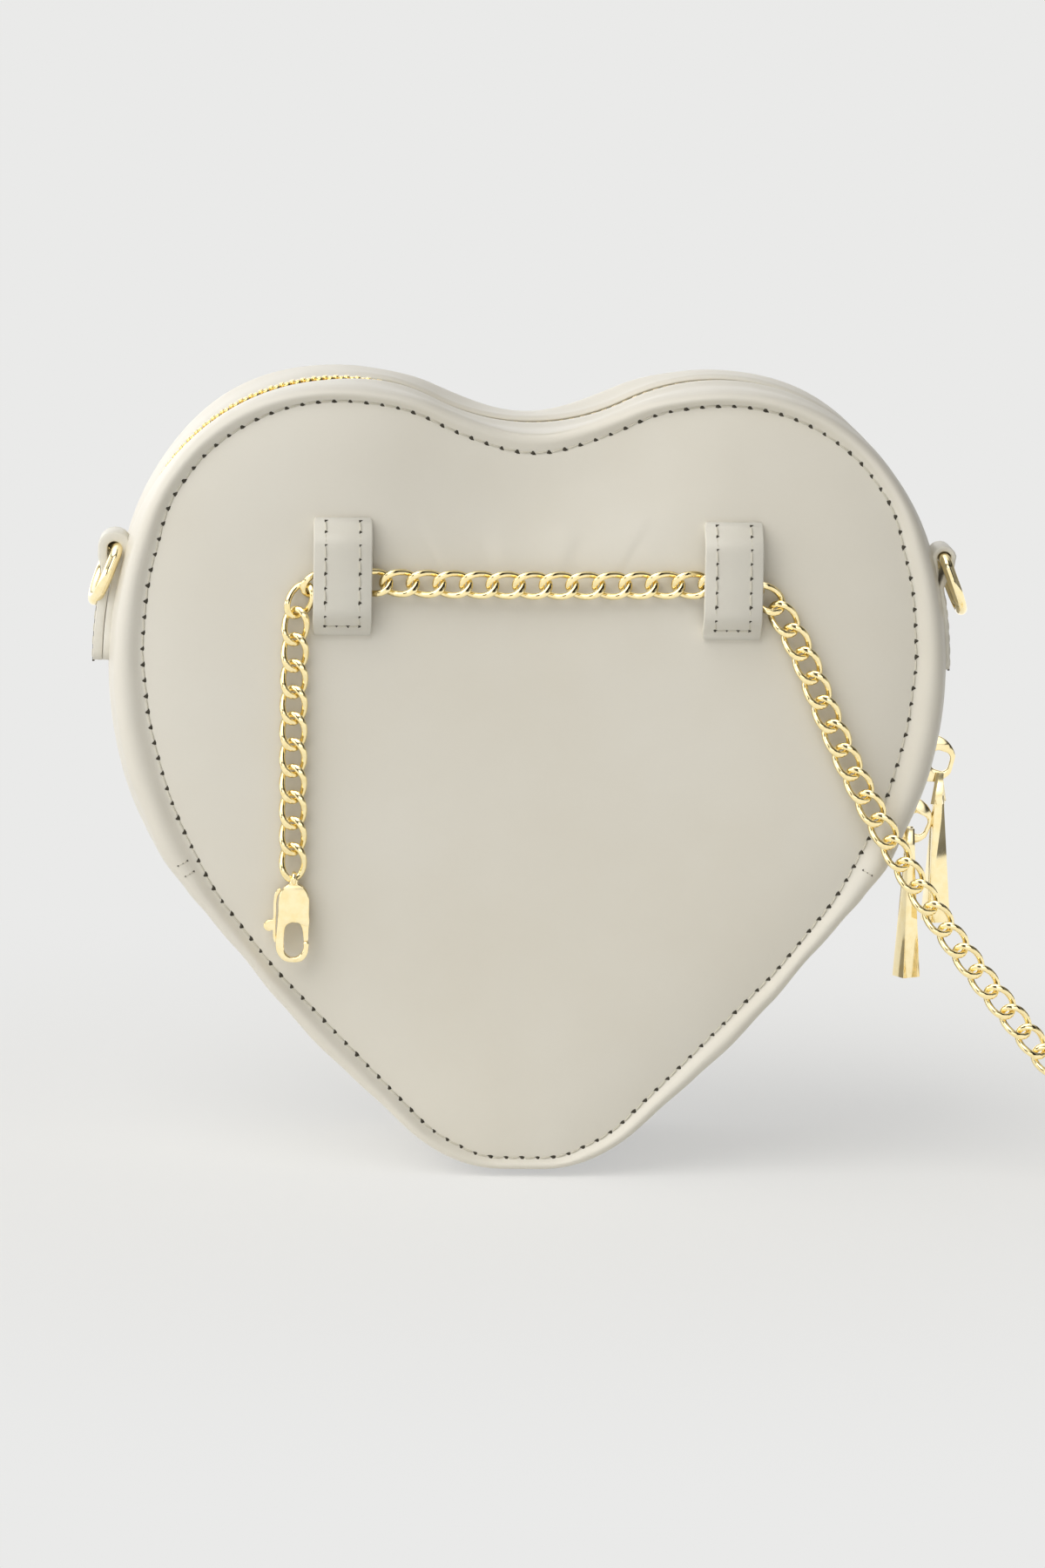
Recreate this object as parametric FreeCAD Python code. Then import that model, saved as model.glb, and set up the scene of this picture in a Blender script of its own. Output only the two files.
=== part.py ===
import os
from math import acos, atan2, cos, degrees, hypot, pi, radians, sin, sqrt, tan

import FreeCAD, Part
from FreeCAD import Placement, Rotation, Vector

# Heart-shaped leather purse with a curb chain. Millimetres.
# X runs to the right as one faces the back panel, Y from the back panel to the front panel, Z up.
# The bag stands on the flat of its point at Z = 0, with Y = 0 halfway between the two panels.

# Bag body
body_width = 200.0
body_height = 191.5
bag_depth = 66.0
panel_thickness = 5.0
gusset_depth = bag_depth - 2 * panel_thickness
foot_width = 9.0
lobe_radius = 0.2663 * body_height
side_radius = 0.5222 * body_height
tip_radius = 0.1775 * body_height
notch_radius = 0.2715 * body_height
lobe_blend = 20.0

# Panels of padded leather with a rolled rim, and the leather of the gusset between them
leather = 1.4
rim_round = 4.6
rim_steps = 3
clearance = 0.3

# Zip: angles are about the centre of the right-hand side curve, counter-clockwise as seen
zip_seam_angle = -30.7
zip_slot = 10.4
tape_width = 9.0
tape_thickness = 0.8
tape_tuck = 2.5
tooth_pitch = 2.7
tooth_depth = 2.25
tooth_thickness = 2.0
tooth_root = 1.7
tooth_tip = 1.1
tooth_sink = 1.1
teeth_start_angle = -11.4
row_gap = 1.5
stop_length = 0.9

# Sliders and their pulls
upper_slider_angle = -15.9
lower_slider_angle = -24.9
slider_length = 12.0
slider_nose = 8.8
slider_tail = 7.6
plate_thickness = 1.3
plate_gap = 0.4
flange_width = 0.6
post_length = 1.8
post_thickness = 0.8
crown_length = 11.2
crown_height = 6.4
crown_width = 1.6
crown_hole_length = 4.8
crown_hole_height = 4.6
crown_hole_lift = 0.8
upper_pin_lift = 5.2
lower_pin_lift = 4.2
pin_slide = 1.2
pin_radius = 0.7
pull_length = 36.4
pull_top = 1.8
pull_bottom = 3.6
pull_neck = 5.0
pull_turn = 28.0
cheek_gap = 0.4
cheek_thickness = 0.8
cheek_rim = 0.4

# D-rings in folded tabs, on the back half of the gusset
tab_y = -gusset_depth / 2 + 11.5
tab_width = 12.0
tab_leather = 1.7
tab_bottom_angle = -0.6
tab_fold_angle = 15.3
tab_taper_angle = 4.2
ring_wire = 2.8
ring_inside = 13.0
ring_drop = 13.9
ring_corner = 2.2
ring_leg = 4.2
ring_sides = 8
corner_steps = 4
bow_steps = 18

# Belt loops on the back panel
loop_spacing = 93.3
loop_shift = 1.3
loop_height = 0.7655 * body_height
loop_width = 14.0
loop_length = 28.0
loop_leather = 2.4
loop_span = 22.0
loop_slack = 1.1

# Curb chain
link_pitch = 6.3
link_wire = 1.4
link_long = 4.35
link_wide = 2.5
link_twist = 1.2
link_steps = 8
link_sides = 4
hanging_links = 8
loop_links = 23
turn_height = 46.0
chain_y = -bag_depth / 2 - 3.4
floor_lift = 2.1
coil_x = 168.0
coil_y = -15.0
coil_run = 80.0
coil_radius = 22.0
coil_step = 4.0
coil_turns = 5
coil_tail = 14.0
jump_ring_radius = 2.7
jump_ring_wire = 1.0
jump_ring_seat = 0.35
jump_ring_steps = 16

# Lobster clasps, measured from the centre of the eye down the clasp
eye_outer = 1.9
eye_hole = 1.05
eye_wrap = 35.0
clasp_width = 8.0
clasp_length = 19.0
clasp_thickness = 2.2
shoulder = 5.2
shoulder_bend = 3.3
shoulder_drop = 2.3
hook_hole_width = 4.6
hook_hole_top = 10.4
hook_hole_bottom = 17.9
hook_hole_offset = 0.6
gate_top = 9.6
gate_bottom = 14.6
gate_width = 1.5
lever_slot = 1.2
lever_thickness = 0.8
lever_inset = 0.2
lever_hub = 1.5
lever_arm = 1.5
lever_x = -0.3
lever_drop = 7.8
lever_pin = 0.5
pin_play = 0.15
thumb_x = -5.4
thumb_drop = 9.1
thumb_ball = 1.15

# Chain route, from the near clasp over the back panel to the floor. The first point is the end of the
# hanging stretch and the last one is where the coil begins.
hanging_x = -56.5
hanging_z = 79.7
loop_line = loop_height - 1.0
chain_route = [
    Vector(hanging_x, chain_y, hanging_z),
    Vector(hanging_x - 0.2, chain_y, 106.0),
    Vector(hanging_x - 0.1, chain_y, 126.5),
    Vector(hanging_x + 0.3, chain_y, loop_line),
    Vector(-36.5, chain_y, loop_line - 0.2),
    Vector(-14.0, chain_y, loop_line - 0.5),
    Vector(14.0, chain_y, loop_line - 0.4),
    Vector(40.0, chain_y, loop_line + 0.2),
    Vector(55.6, chain_y, loop_line),
    Vector(64.6, chain_y, 131.0),
    Vector(70.6, chain_y, 116.0),
    Vector(78.5, chain_y, 99.0),
    Vector(88.0, chain_y, 82.5),
    Vector(98.5, chain_y - 0.2, 66.5),
    Vector(109.5, chain_y - 0.6, 51.8),
    Vector(120.5, chain_y - 1.0, 38.6),
    Vector(130.0, chain_y - 1.2, 27.2),
    Vector(139.0, chain_y - 1.2, 17.0),
    Vector(148.0, chain_y - 1.0, 8.4),
    Vector(157.0, coil_y - coil_radius - 0.2, floor_lift + 1.2),
    Vector(coil_x, coil_y - coil_radius, floor_lift - 0.1),
]

# Heart outline: point, flank, side, lobe and notch curves, each tangent to the next
blend = radians(lobe_blend)
lobe_x = body_width / 2 - lobe_radius * cos(blend) - side_radius * (1 - cos(blend))
lobe_z = body_height - lobe_radius
side_x = lobe_x - (side_radius - lobe_radius) * cos(blend)
side_z = lobe_z - (side_radius - lobe_radius) * sin(blend)
notch_z = lobe_z + sqrt((lobe_radius + notch_radius) ** 2 - lobe_x**2)
lobe_end = atan2(notch_z - lobe_z, -lobe_x)
tip_x = foot_width / 2
tip_to_side = hypot(side_x - tip_x, side_z - tip_radius)
flank = atan2(side_z - tip_radius, side_x - tip_x) - acos((tip_radius - side_radius) / tip_to_side)

seam_y = gusset_depth / 2
across = Vector(0, 1, 0)
toward_viewer = Vector(0, -1, 0)


def single(shape):
    solids = shape.Solids
    if len(solids) != 1:
        raise ValueError(f"expected one solid, found {len(solids)}")
    return solids[0]


def on_circle(x, z, radius, angle, y=0.0):
    return Vector(x + radius * cos(angle), y, z + radius * sin(angle))


def arc(x, z, radius, start, end, y=0.0):
    middle = (start + end) / 2
    points = [on_circle(x, z, radius, angle, y) for angle in (start, middle, end)]
    return Part.Arc(*points).toShape()


def heart_wire(inset, y):
    right = [
        arc(tip_x, tip_radius, tip_radius - inset, -pi / 2, flank, y),
        Part.makeLine(
            on_circle(tip_x, tip_radius, tip_radius - inset, flank, y),
            on_circle(side_x, side_z, side_radius - inset, flank, y),
        ),
        arc(side_x, side_z, side_radius - inset, flank, blend, y),
        arc(lobe_x, lobe_z, lobe_radius - inset, blend, lobe_end, y),
        arc(0, notch_z, notch_radius + inset, lobe_end - pi, -pi / 2, y),
    ]
    left = [edge.mirror(Vector(), Vector(1, 0, 0)) for edge in reversed(right)]
    foot = Part.makeLine(Vector(-tip_x, y, inset), Vector(tip_x, y, inset))
    return Part.Wire([foot] + right + left)


def heart_prism(inset, start, end):
    return Part.Face(heart_wire(inset, start)).extrude(Vector(0, end - start, 0))


def heart_band(outer, inner, start, end):
    return heart_prism(outer, start, end).cut(heart_prism(inner, start, end))


def polygon_prism(points, along):
    return Part.Face(Part.makePolygon(points + [points[0]])).extrude(along)


def zip_side(angle):
    # everything above the two radial lines at this angle on the left and right side curves
    far = 2 * (body_width + body_height)
    slope = radians(angle)
    middle = side_z - side_x * tan(slope)
    low = side_z + far * sin(slope)
    points = [
        Vector(0, -bag_depth, middle),
        Vector(side_x + far * cos(slope), -bag_depth, low),
        Vector(side_x + far * cos(slope), -bag_depth, middle + far),
        Vector(-side_x - far * cos(slope), -bag_depth, middle + far),
        Vector(-side_x - far * cos(slope), -bag_depth, low),
    ]
    return polygon_prism(points, Vector(0, 2 * bag_depth, 0))


def panel():
    # the rim rolls over in flat steps from the gusset seam to the face
    wires = [heart_wire(0, -seam_y)]
    for step in range(rim_steps + 1):
        turn = pi / 2 * step / rim_steps
        wires.append(heart_wire(rim_round * (1 - cos(turn)), -bag_depth / 2 + rim_round * (1 - sin(turn))))
    return Part.makeLoft(wires, True, True)


tape_inset = leather + clearance
tape_edge = row_gap / 2 + tooth_depth + clearance


def zip_gusset():
    band = heart_band(0, leather, -seam_y + clearance, -zip_slot / 2)
    return single(band.common(zip_side(zip_seam_angle)))


def zip_tape():
    band = heart_band(tape_inset, tape_inset + tape_thickness, -tape_edge - tape_width, -tape_edge)
    return single(band.common(zip_side(zip_seam_angle - tape_tuck)))


def lower_gusset():
    band = heart_band(0, leather, -seam_y + clearance, seam_y - clearance)
    gap = degrees(clearance / side_radius)
    return single(band.cut(zip_side(zip_seam_angle - gap)))


def zip_line(inset):
    # arcs of the zip from the right-hand sliders over both lobes to the left-hand seam:
    # centre, radius, start angle and end angle, walked along the line at this inset
    low = radians(zip_seam_angle) + stop_length / side_radius * 2
    right = [
        (side_x, side_z, side_radius - inset, radians(teeth_start_angle), blend),
        (lobe_x, lobe_z, lobe_radius - inset, blend, lobe_end),
        (0, notch_z, notch_radius + inset, lobe_end - pi, -pi / 2),
    ]
    left = [
        (0, notch_z, notch_radius + inset, -pi / 2, -lobe_end),
        (-lobe_x, lobe_z, lobe_radius - inset, pi - lobe_end, pi - blend),
        (-side_x, side_z, side_radius - inset, pi - blend, pi - low),
    ]
    return right + left


def along_zip(arcs, distance):
    # place on the line and the outward direction there
    for x, z, radius, start, end in arcs:
        length = radius * abs(end - start)
        if distance <= length:
            angle = start + (end - start) * distance / length
            outward = angle if end > start else angle + pi
            return on_circle(x, z, radius, angle), outward
        distance -= length
    raise ValueError("past the end of the zip")


tooth_middle = tooth_sink + tooth_thickness / 2


def tooth():
    # one tooth at the origin: outward is +X, along the zip is +Z, its tip points to the middle
    root = -row_gap / 2 - tooth_depth
    tip = -row_gap / 2
    points = [
        Vector(-tooth_thickness / 2, root, -tooth_root / 2),
        Vector(-tooth_thickness / 2, tip, -tooth_tip / 2),
        Vector(-tooth_thickness / 2, tip, tooth_tip / 2),
        Vector(-tooth_thickness / 2, root, tooth_root / 2),
    ]
    return polygon_prism(points, Vector(tooth_thickness, 0, 0))


def teeth(first):
    arcs = zip_line(tooth_middle)
    length = sum(radius * abs(end - start) for x, z, radius, start, end in arcs)
    count = int((length - first - tooth_root / 2) / tooth_pitch) + 1
    pattern = []
    for index in range(count):
        place, outward = along_zip(arcs, first + index * tooth_pitch)
        copy = tooth()
        copy.Placement = Placement(place, Rotation(toward_viewer, degrees(outward)))
        pattern.append(copy)
    return Part.makeCompound(pattern)


def zip_stops():
    outer = side_radius - tooth_sink
    inner = outer - tooth_thickness
    depth = Vector(0, tooth_depth, 0)
    start = radians(zip_seam_angle) + stop_length / side_radius / 2
    end = start + stop_length / side_radius
    corners = [
        on_circle(side_x, side_z, inner, start, -row_gap / 2 - tooth_depth),
        on_circle(side_x, side_z, outer, start, -row_gap / 2 - tooth_depth),
        on_circle(side_x, side_z, outer, end, -row_gap / 2 - tooth_depth),
        on_circle(side_x, side_z, inner, end, -row_gap / 2 - tooth_depth),
    ]
    right = polygon_prism(corners, depth)
    return Part.makeCompound([right, right.mirror(Vector(), Vector(1, 0, 0))])


def on_side_curve(shape, angle):
    # from the local frame, with outward +X and up the zip +Z, to its place on the right-hand side curve
    turn = Rotation(toward_viewer, angle)
    shape.Placement = Placement(on_circle(side_x, side_z, side_radius, radians(angle)), turn)
    return shape


plate_inner = -tooth_sink + plate_gap
plate_outer = plate_inner + plate_thickness


def slider(nose_up):
    half = slider_length / 2
    nose = slider_nose / 2
    tail = slider_tail / 2
    shape_up = 1 if nose_up else -1
    one_side = [(-1, tail), (-0.35, tail), (0.5, nose), (1, tail)]
    outline = [(along, -y) for along, y in one_side] + one_side[::-1]

    def plate(level, thickness):
        points = [Vector(level, y, shape_up * along * half) for along, y in outline]
        return polygon_prism(points, Vector(thickness, 0, 0))

    below = -tooth_sink - tooth_thickness - plate_gap - half**2 / (2 * side_radius)
    upper = plate(plate_inner, plate_thickness)
    lower = plate(below - plate_thickness, plate_thickness)
    post_from = half * 0.6 if nose_up else -half * 0.6 - post_length
    post = Part.makeBox(
        plate_inner - below, post_thickness, post_length, Vector(below, -post_thickness / 2, post_from)
    )
    body = upper.fuse([lower, post])
    rail = tape_inset - clearance + plate_inner
    for edge in (-tail, tail - flange_width):
        start = -half if nose_up else -half * 0.35
        top_rail = Part.makeBox(rail, flange_width, half * 1.35, Vector(plate_inner - rail, edge, start))
        foot = -tape_inset - tape_thickness - clearance - half**2 / (2 * side_radius) - below
        bottom_rail = Part.makeBox(foot, flange_width, half * 1.35, Vector(below, edge, start))
        body = body.fuse([top_rail, bottom_rail])
    return single(body.fuse(crown()).removeSplitter())


def crown():
    half = crown_length / 2
    top = plate_outer + crown_height
    side = -crown_width / 2
    points = [
        Vector(plate_outer, side, -half),
        Vector(plate_outer + crown_height * 0.72, side, -half * 0.78),
        Vector(top, side, -half * 0.36),
    ]
    mirrored = [Vector(point.x, point.y, -point.z) for point in points]
    start = Part.Arc(*points).toShape()
    end = Part.Arc(*reversed(mirrored)).toShape()
    top_line = Part.makeLine(points[2], mirrored[2])
    base_line = Part.makeLine(mirrored[0], points[0])
    bow = Part.Wire([start, top_line, end, base_line])
    plate = Part.Face(bow).extrude(Vector(0, crown_width, 0))
    hole_from = plate_outer + crown_hole_lift
    hole = Part.makeBox(
        crown_hole_height, crown_width, crown_hole_length, Vector(hole_from, side, -crown_hole_length / 2)
    )
    corners = [edge for edge in hole.Edges if abs(edge.tangentAt(edge.FirstParameter).y) > 0.9]
    return plate.cut(hole.makeFillet(crown_hole_height * 0.35, corners))


def pin_place(angle, lift):
    turn = radians(angle)
    seat = on_circle(side_x, side_z, side_radius + lift, turn)
    return seat + Vector(sin(turn), 0, -cos(turn)) * pin_slide


def pull(place):
    # a bar of square section that widens downward, hung on a pin between two cheeks
    wide = pull_bottom / 2
    slim = pull_top / 2
    bar = Part.makeWedge(-wide, 0, -wide, -slim, -slim, wide, pull_length - pull_neck, wide, slim, slim)
    upright = Rotation(Vector(0, 0, 1), pull_turn) * Rotation(Vector(1, 0, 0), 90)
    bar.Placement = Placement(Vector(0, 0, -pull_length), upright)
    inner = crown_width / 2 + cheek_gap
    outer = inner + cheek_thickness
    pin = Part.makeCylinder(pin_radius, 2 * outer, Vector(0, -outer, 0), across)
    body = bar.fuse(pin)
    drop = pull_neck + pull_top
    width = 2 * pin_radius + cheek_rim
    for side in (-outer, inner):
        cheek = Part.makeBox(width, cheek_thickness, drop + width / 2, Vector(-width / 2, side, -drop))
        body = body.fuse(cheek)
    bridge = Part.makeBox(width, 2 * outer, pull_top, Vector(-width / 2, -outer, -drop))
    body = single(body.fuse(bridge).removeSplitter())
    body.Placement = Placement(place, Rotation())
    return body


bar_clear = ring_wire / 2 + clearance
fold_radius = bar_clear + tab_leather
fold_lift = clearance + fold_radius


def ring_tab():
    # two layers sewn flat, opening into a fold round the bar of the ring
    low = radians(tab_bottom_angle)
    high = radians(tab_fold_angle)
    taper = radians(tab_fold_angle - tab_taper_angle)
    inner = side_radius + clearance
    outer = inner + 2 * tab_leather
    start = tab_y - tab_width / 2
    depth = Vector(0, tab_width, 0)
    edges = [
        arc(side_x, side_z, inner, low, high, start),
        Part.makeLine(
            on_circle(side_x, side_z, inner, high, start),
            on_circle(side_x, side_z, inner + 2 * fold_radius, high, start),
        ),
        Part.makeLine(
            on_circle(side_x, side_z, inner + 2 * fold_radius, high, start),
            on_circle(side_x, side_z, outer, taper, start),
        ),
        arc(side_x, side_z, outer, taper, low, start),
        Part.makeLine(
            on_circle(side_x, side_z, outer, low, start),
            on_circle(side_x, side_z, inner, low, start),
        ),
    ]
    strip = Part.Face(Part.Wire(edges)).extrude(depth)
    centre = on_circle(side_x, side_z, side_radius + fold_lift, high, start)
    fold = Part.makeCylinder(fold_radius, tab_width, centre, across)
    bore = Part.makeCylinder(bar_clear, tab_width, centre, across)
    return single(strip.fuse(fold).cut(bore).removeSplitter())


def ring_centre():
    return on_circle(side_x, side_z, side_radius + fold_lift, radians(tab_fold_angle), tab_y)


def ring_hang():
    # tilt at which the bow of the ring comes to lie on the outer layer of the tab
    bow = side_radius + clearance + 2 * tab_leather + ring_wire / 2 + 3 * clearance
    arm = side_radius + fold_lift
    lean = (bow**2 - arm**2 - ring_drop**2) / (2 * ring_drop * arm)
    return 90 + tab_fold_angle - degrees(acos(lean))


def section(centre, along, outward, radius, sides):
    # corners of a wire's section, with a flat of the wire on each side
    reach = radius / cos(pi / sides)
    upward = along.cross(outward)
    turns = [2 * pi * (side + 0.5) / sides for side in range(sides)]
    return [centre + (outward * cos(turn) + upward * sin(turn)) * reach for turn in turns]


def closed_wire(sections):
    # faces between each section and the next, all the way round
    faces = []
    for here, there in zip(sections, sections[1:] + sections[:1]):
        for corner in range(len(here)):
            after = (corner + 1) % len(here)
            for triangle in (
                [here[corner], there[corner], there[after]],
                [here[corner], there[after], here[after]],
            ):
                faces.append(Part.Face(Part.makePolygon(triangle + triangle[:1])))
    shell = Part.Shell(faces)
    shell.sewShape()
    body = Part.Solid(shell)
    if body.Volume < 0:
        body.reverse()
    return body


def ring():
    # bar, two tight corners, two legs and a round bow, all of one wire
    half = (ring_inside + ring_wire) / 2
    inner = half - ring_corner
    diagonal = inner + ring_corner * sin(pi / 4)
    dip = -ring_corner * (1 - cos(pi / 4))
    bar = Part.makeLine(Vector(0, -inner, 0), Vector(0, inner, 0))
    corner = Part.Arc(
        Vector(0, inner, 0), Vector(0, diagonal, dip), Vector(0, half, -ring_corner)
    ).toShape()
    leg = Part.makeLine(Vector(0, half, -ring_corner), Vector(0, half, -ring_leg))
    bow = Part.Arc(
        Vector(0, half, -ring_leg), Vector(0, 0, -ring_drop), Vector(0, -half, -ring_leg)
    ).toShape()
    far_leg = Part.makeLine(Vector(0, -half, -ring_leg), Vector(0, -half, -ring_corner))
    far_corner = Part.Arc(
        Vector(0, -half, -ring_corner), Vector(0, -diagonal, dip), Vector(0, -inner, 0)
    ).toShape()
    sections = []
    for edge, steps in (
        (bar, 1),
        (corner, corner_steps),
        (leg, 1),
        (bow, bow_steps),
        (far_leg, 1),
        (far_corner, corner_steps),
    ):
        for step in range(steps):
            place = edge.FirstParameter + (edge.LastParameter - edge.FirstParameter) * step / steps
            along = edge.tangentAt(place)
            outward = along.cross(Vector(1, 0, 0))
            sections.append(section(edge.valueAt(place), along, outward, ring_wire / 2, ring_sides))
    body = closed_wire(sections)
    body.Placement = Placement(ring_centre(), Rotation(toward_viewer, ring_hang()))
    return body


def belt_loop(side):
    # a strip whose ends are sewn to the panel and whose middle arches over the chain
    inner = chain_y - link_twist - link_wire / 2 - loop_slack
    foot = -bag_depth / 2 - clearance
    half = loop_length / 2
    span = loop_span / 2
    wide = span + loop_leather
    start = -loop_width / 2
    top = loop_height + half
    low = loop_height - half
    edges = [
        Part.makeLine(Vector(start, foot, low), Vector(start, foot - loop_leather, low)),
        Part.makeLine(
            Vector(start, foot - loop_leather, low), Vector(start, foot - loop_leather, loop_height - wide)
        ),
        Part.Arc(
            Vector(start, foot - loop_leather, loop_height - wide),
            Vector(start, inner - loop_leather, loop_height),
            Vector(start, foot - loop_leather, loop_height + wide),
        ).toShape(),
        Part.makeLine(
            Vector(start, foot - loop_leather, loop_height + wide), Vector(start, foot - loop_leather, top)
        ),
        Part.makeLine(Vector(start, foot - loop_leather, top), Vector(start, foot, top)),
        Part.makeLine(Vector(start, foot, top), Vector(start, foot, loop_height + span)),
        Part.Arc(
            Vector(start, foot, loop_height + span),
            Vector(start, inner, loop_height),
            Vector(start, foot, loop_height - span),
        ).toShape(),
        Part.makeLine(Vector(start, foot, loop_height - span), Vector(start, foot, low)),
    ]
    strip = Part.Face(Part.Wire(edges)).extrude(Vector(loop_width, 0, 0))
    strip.translate(Vector(side * loop_spacing / 2 + loop_shift, 0, 0))
    return strip


def link():
    # a twisted oval of square wire along X, flat side to the front
    sections = []
    for step in range(link_steps):
        turn = 2 * pi * step / link_steps
        centre = Vector(link_long * cos(turn), link_wide * sin(turn), link_twist * sin(2 * turn))
        along = Vector(-link_long * sin(turn), link_wide * cos(turn), 2 * link_twist * cos(2 * turn))
        along.normalize()
        outward = Vector(cos(turn) / link_long, sin(turn) / link_wide, 0)
        outward = (outward - along * outward.dot(along)).normalize()
        sections.append(section(centre, along, outward, link_wire / 2, link_sides))
    return closed_wire(sections)


def route_wire(points):
    # straight runs joined by tangent arcs, each as large as its two runs allow
    corners = []
    for before, here, after in zip(points, points[1:], points[2:]):
        back = before - here
        ahead = after - here
        shorter = min(back.Length, ahead.Length)
        back.normalize()
        ahead.normalize()
        half_turn = (pi - back.getAngle(ahead)) / 2
        cut = 0.45 * shorter
        radius = cut / tan(half_turn)
        bisector = (back + ahead).normalize()
        apex = here + bisector * (radius / cos(half_turn) - radius)
        corners.append((here + back * cut, apex, here + ahead * cut, radius))
    edges = []
    last = points[0]
    for start, apex, end, radius in corners:
        edges.append(Part.makeLine(last, start))
        edges.append(Part.Arc(start, apex, end).toShape())
        last = end
    edges.append(Part.makeLine(last, points[-1]))
    print("least bend radius of the chain:", round(min(corner[3] for corner in corners), 1))
    return Part.Wire(edges)


def face_of_chain(place):
    # the flat of the chain faces the viewer on the bag and turns upward on the way to the floor
    share = min(max((turn_height - place.z) / (turn_height - floor_lift), 0.0), 1.0)
    turn = share * pi / 2
    return Vector(0, -cos(turn), sin(turn))


def chain_links():
    path = route_wire(chain_route)
    count = int(path.Length / link_pitch) + 1
    points = path.discretize(Distance=path.Length / (count - 1))
    pattern = link()
    links = []
    for index, place in enumerate(points):
        before = points[max(index - 1, 0)]
        after = points[min(index + 1, len(points) - 1)]
        along = (after - before).normalize()
        upward = face_of_chain(place)
        upward = (upward - along * upward.dot(along)).normalize()
        wide = upward.cross(along)
        copy = pattern.copy()
        copy.Placement = Placement(place, Rotation(along, wide, upward, "XYZ"))
        links.append(copy)
    print("links:", count, "pitch:", round(path.Length / (count - 1), 3), "route:", round(path.Length, 1))
    return links


chain_width = 2 * link_wide + link_wire
chain_thickness = 2 * link_twist + link_wire
coil_start = Vector(coil_x, coil_y - coil_radius, 0)


def coil_bends():
    # centre and radius of each half turn, walking inward
    bends = []
    y = coil_start.y
    for index in range(coil_turns):
        radius = coil_radius - index * coil_step
        side = 1 if index % 2 == 0 else -1
        x = coil_x + coil_run if side > 0 else coil_x
        bends.append((Vector(x, y + side * radius, 0), radius, side))
        y += 2 * side * radius
    return bends, y


def coil_side(offset):
    # one edge of the coiled band, this far to the left of its middle line
    bends, last_y = coil_bends()
    place = coil_start + Vector(link_long + link_wire / 2 + clearance, offset, 0)
    edges = []
    for centre, radius, side in bends:
        reach = Vector(0, radius - offset, 0)
        edges.append(Part.makeLine(place, centre - reach * side))
        sweep = Vector(side * (radius - offset), 0, 0)
        edges.append(Part.Arc(centre - reach * side, centre + sweep, centre + reach * side).toShape())
        place = centre + reach * side
    end = Vector(coil_x + coil_run - coil_tail, last_y - offset, 0)
    edges.append(Part.makeLine(place, end))
    return edges


def chain_coil():
    left = coil_side(chain_width / 2)
    right = coil_side(-chain_width / 2)
    start = Part.makeLine(right[0].Vertexes[0].Point, left[0].Vertexes[0].Point)
    finish = Part.makeLine(left[-1].Vertexes[-1].Point, right[-1].Vertexes[-1].Point)
    outline = Part.Wire(Part.__sortEdges__(left + right + [start, finish]))
    length = sum(edge.Length for edge in coil_side(0))
    print("coil length:", round(length, 1), "least gap in the coil:", round(2 * coil_step - chain_width, 2))
    return Part.Face(outline).extrude(Vector(0, 0, chain_thickness))


def jump_ring():
    # stands edge-on to the clasp, its lower side in the eye
    sections = []
    for step in range(jump_ring_steps):
        turn = 2 * pi * step / jump_ring_steps
        outward = Vector(0, cos(turn), sin(turn))
        along = Vector(0, -sin(turn), cos(turn))
        centre = Vector(0, 0, jump_ring_radius) + outward * jump_ring_radius
        sections.append(section(centre, along, outward, jump_ring_wire / 2, link_sides))
    return closed_wire(sections)


def clasp_body():
    # a flat claw with the eye at its top, a hook open on the right, and a slot for the lever on its pin
    half = clasp_width / 2
    bottom = -clasp_length + half
    y = -clasp_thickness / 2
    depth = Vector(0, clasp_thickness, 0)
    eye_turn = radians(eye_wrap)
    eye_right = on_circle(0, 0, eye_outer, -eye_turn, y)
    eye_left = on_circle(0, 0, eye_outer, pi + eye_turn, y)
    bend = Vector(shoulder_bend, y, -shoulder_drop)
    edges = [
        arc(0, 0, eye_outer, -eye_turn, pi + eye_turn, y),
        Part.Arc(eye_left, Vector(-bend.x, y, bend.z), Vector(-half, y, -shoulder)).toShape(),
        Part.makeLine(Vector(-half, y, -shoulder), Vector(-half, y, bottom)),
        Part.Arc(Vector(-half, y, bottom), Vector(0, y, -clasp_length), Vector(half, y, bottom)).toShape(),
        Part.makeLine(Vector(half, y, bottom), Vector(half, y, -shoulder)),
        Part.Arc(Vector(half, y, -shoulder), bend, eye_right).toShape(),
    ]
    claw = Part.Face(Part.Wire(edges)).extrude(depth)
    eye = Part.makeCylinder(eye_hole, clasp_thickness, Vector(0, y, 0), across)

    round_end = hook_hole_width / 2
    top_z = -hook_hole_top - round_end
    low_z = -hook_hole_bottom + round_end
    left_x = hook_hole_offset - round_end
    right_x = hook_hole_offset + round_end
    hole_edges = [
        arc(hook_hole_offset, top_z, round_end, 0, pi, y),
        Part.makeLine(Vector(left_x, y, top_z), Vector(left_x, y, low_z)),
        arc(hook_hole_offset, low_z, round_end, pi, 2 * pi, y),
        Part.makeLine(Vector(right_x, y, low_z), Vector(right_x, y, top_z)),
    ]
    hook_hole = Part.Face(Part.Wire(hole_edges)).extrude(depth)
    gate_from = Vector(hook_hole_offset, y, -gate_bottom)
    gate = Part.makeBox(half, clasp_thickness, gate_bottom - gate_top, gate_from)
    slot_top = lever_drop - lever_hub - clearance
    slot_low = hook_hole_top + round_end
    slot_from = Vector(-half, -lever_slot / 2, -slot_low)
    slot = Part.makeBox(clasp_width, lever_slot, slot_low - slot_top, slot_from)
    pin = Part.makeCylinder(lever_pin, clasp_thickness, Vector(lever_x, y, -lever_drop), across)
    return single(claw.cut([eye, hook_hole, gate, slot]).fuse(pin).removeSplitter())


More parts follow.
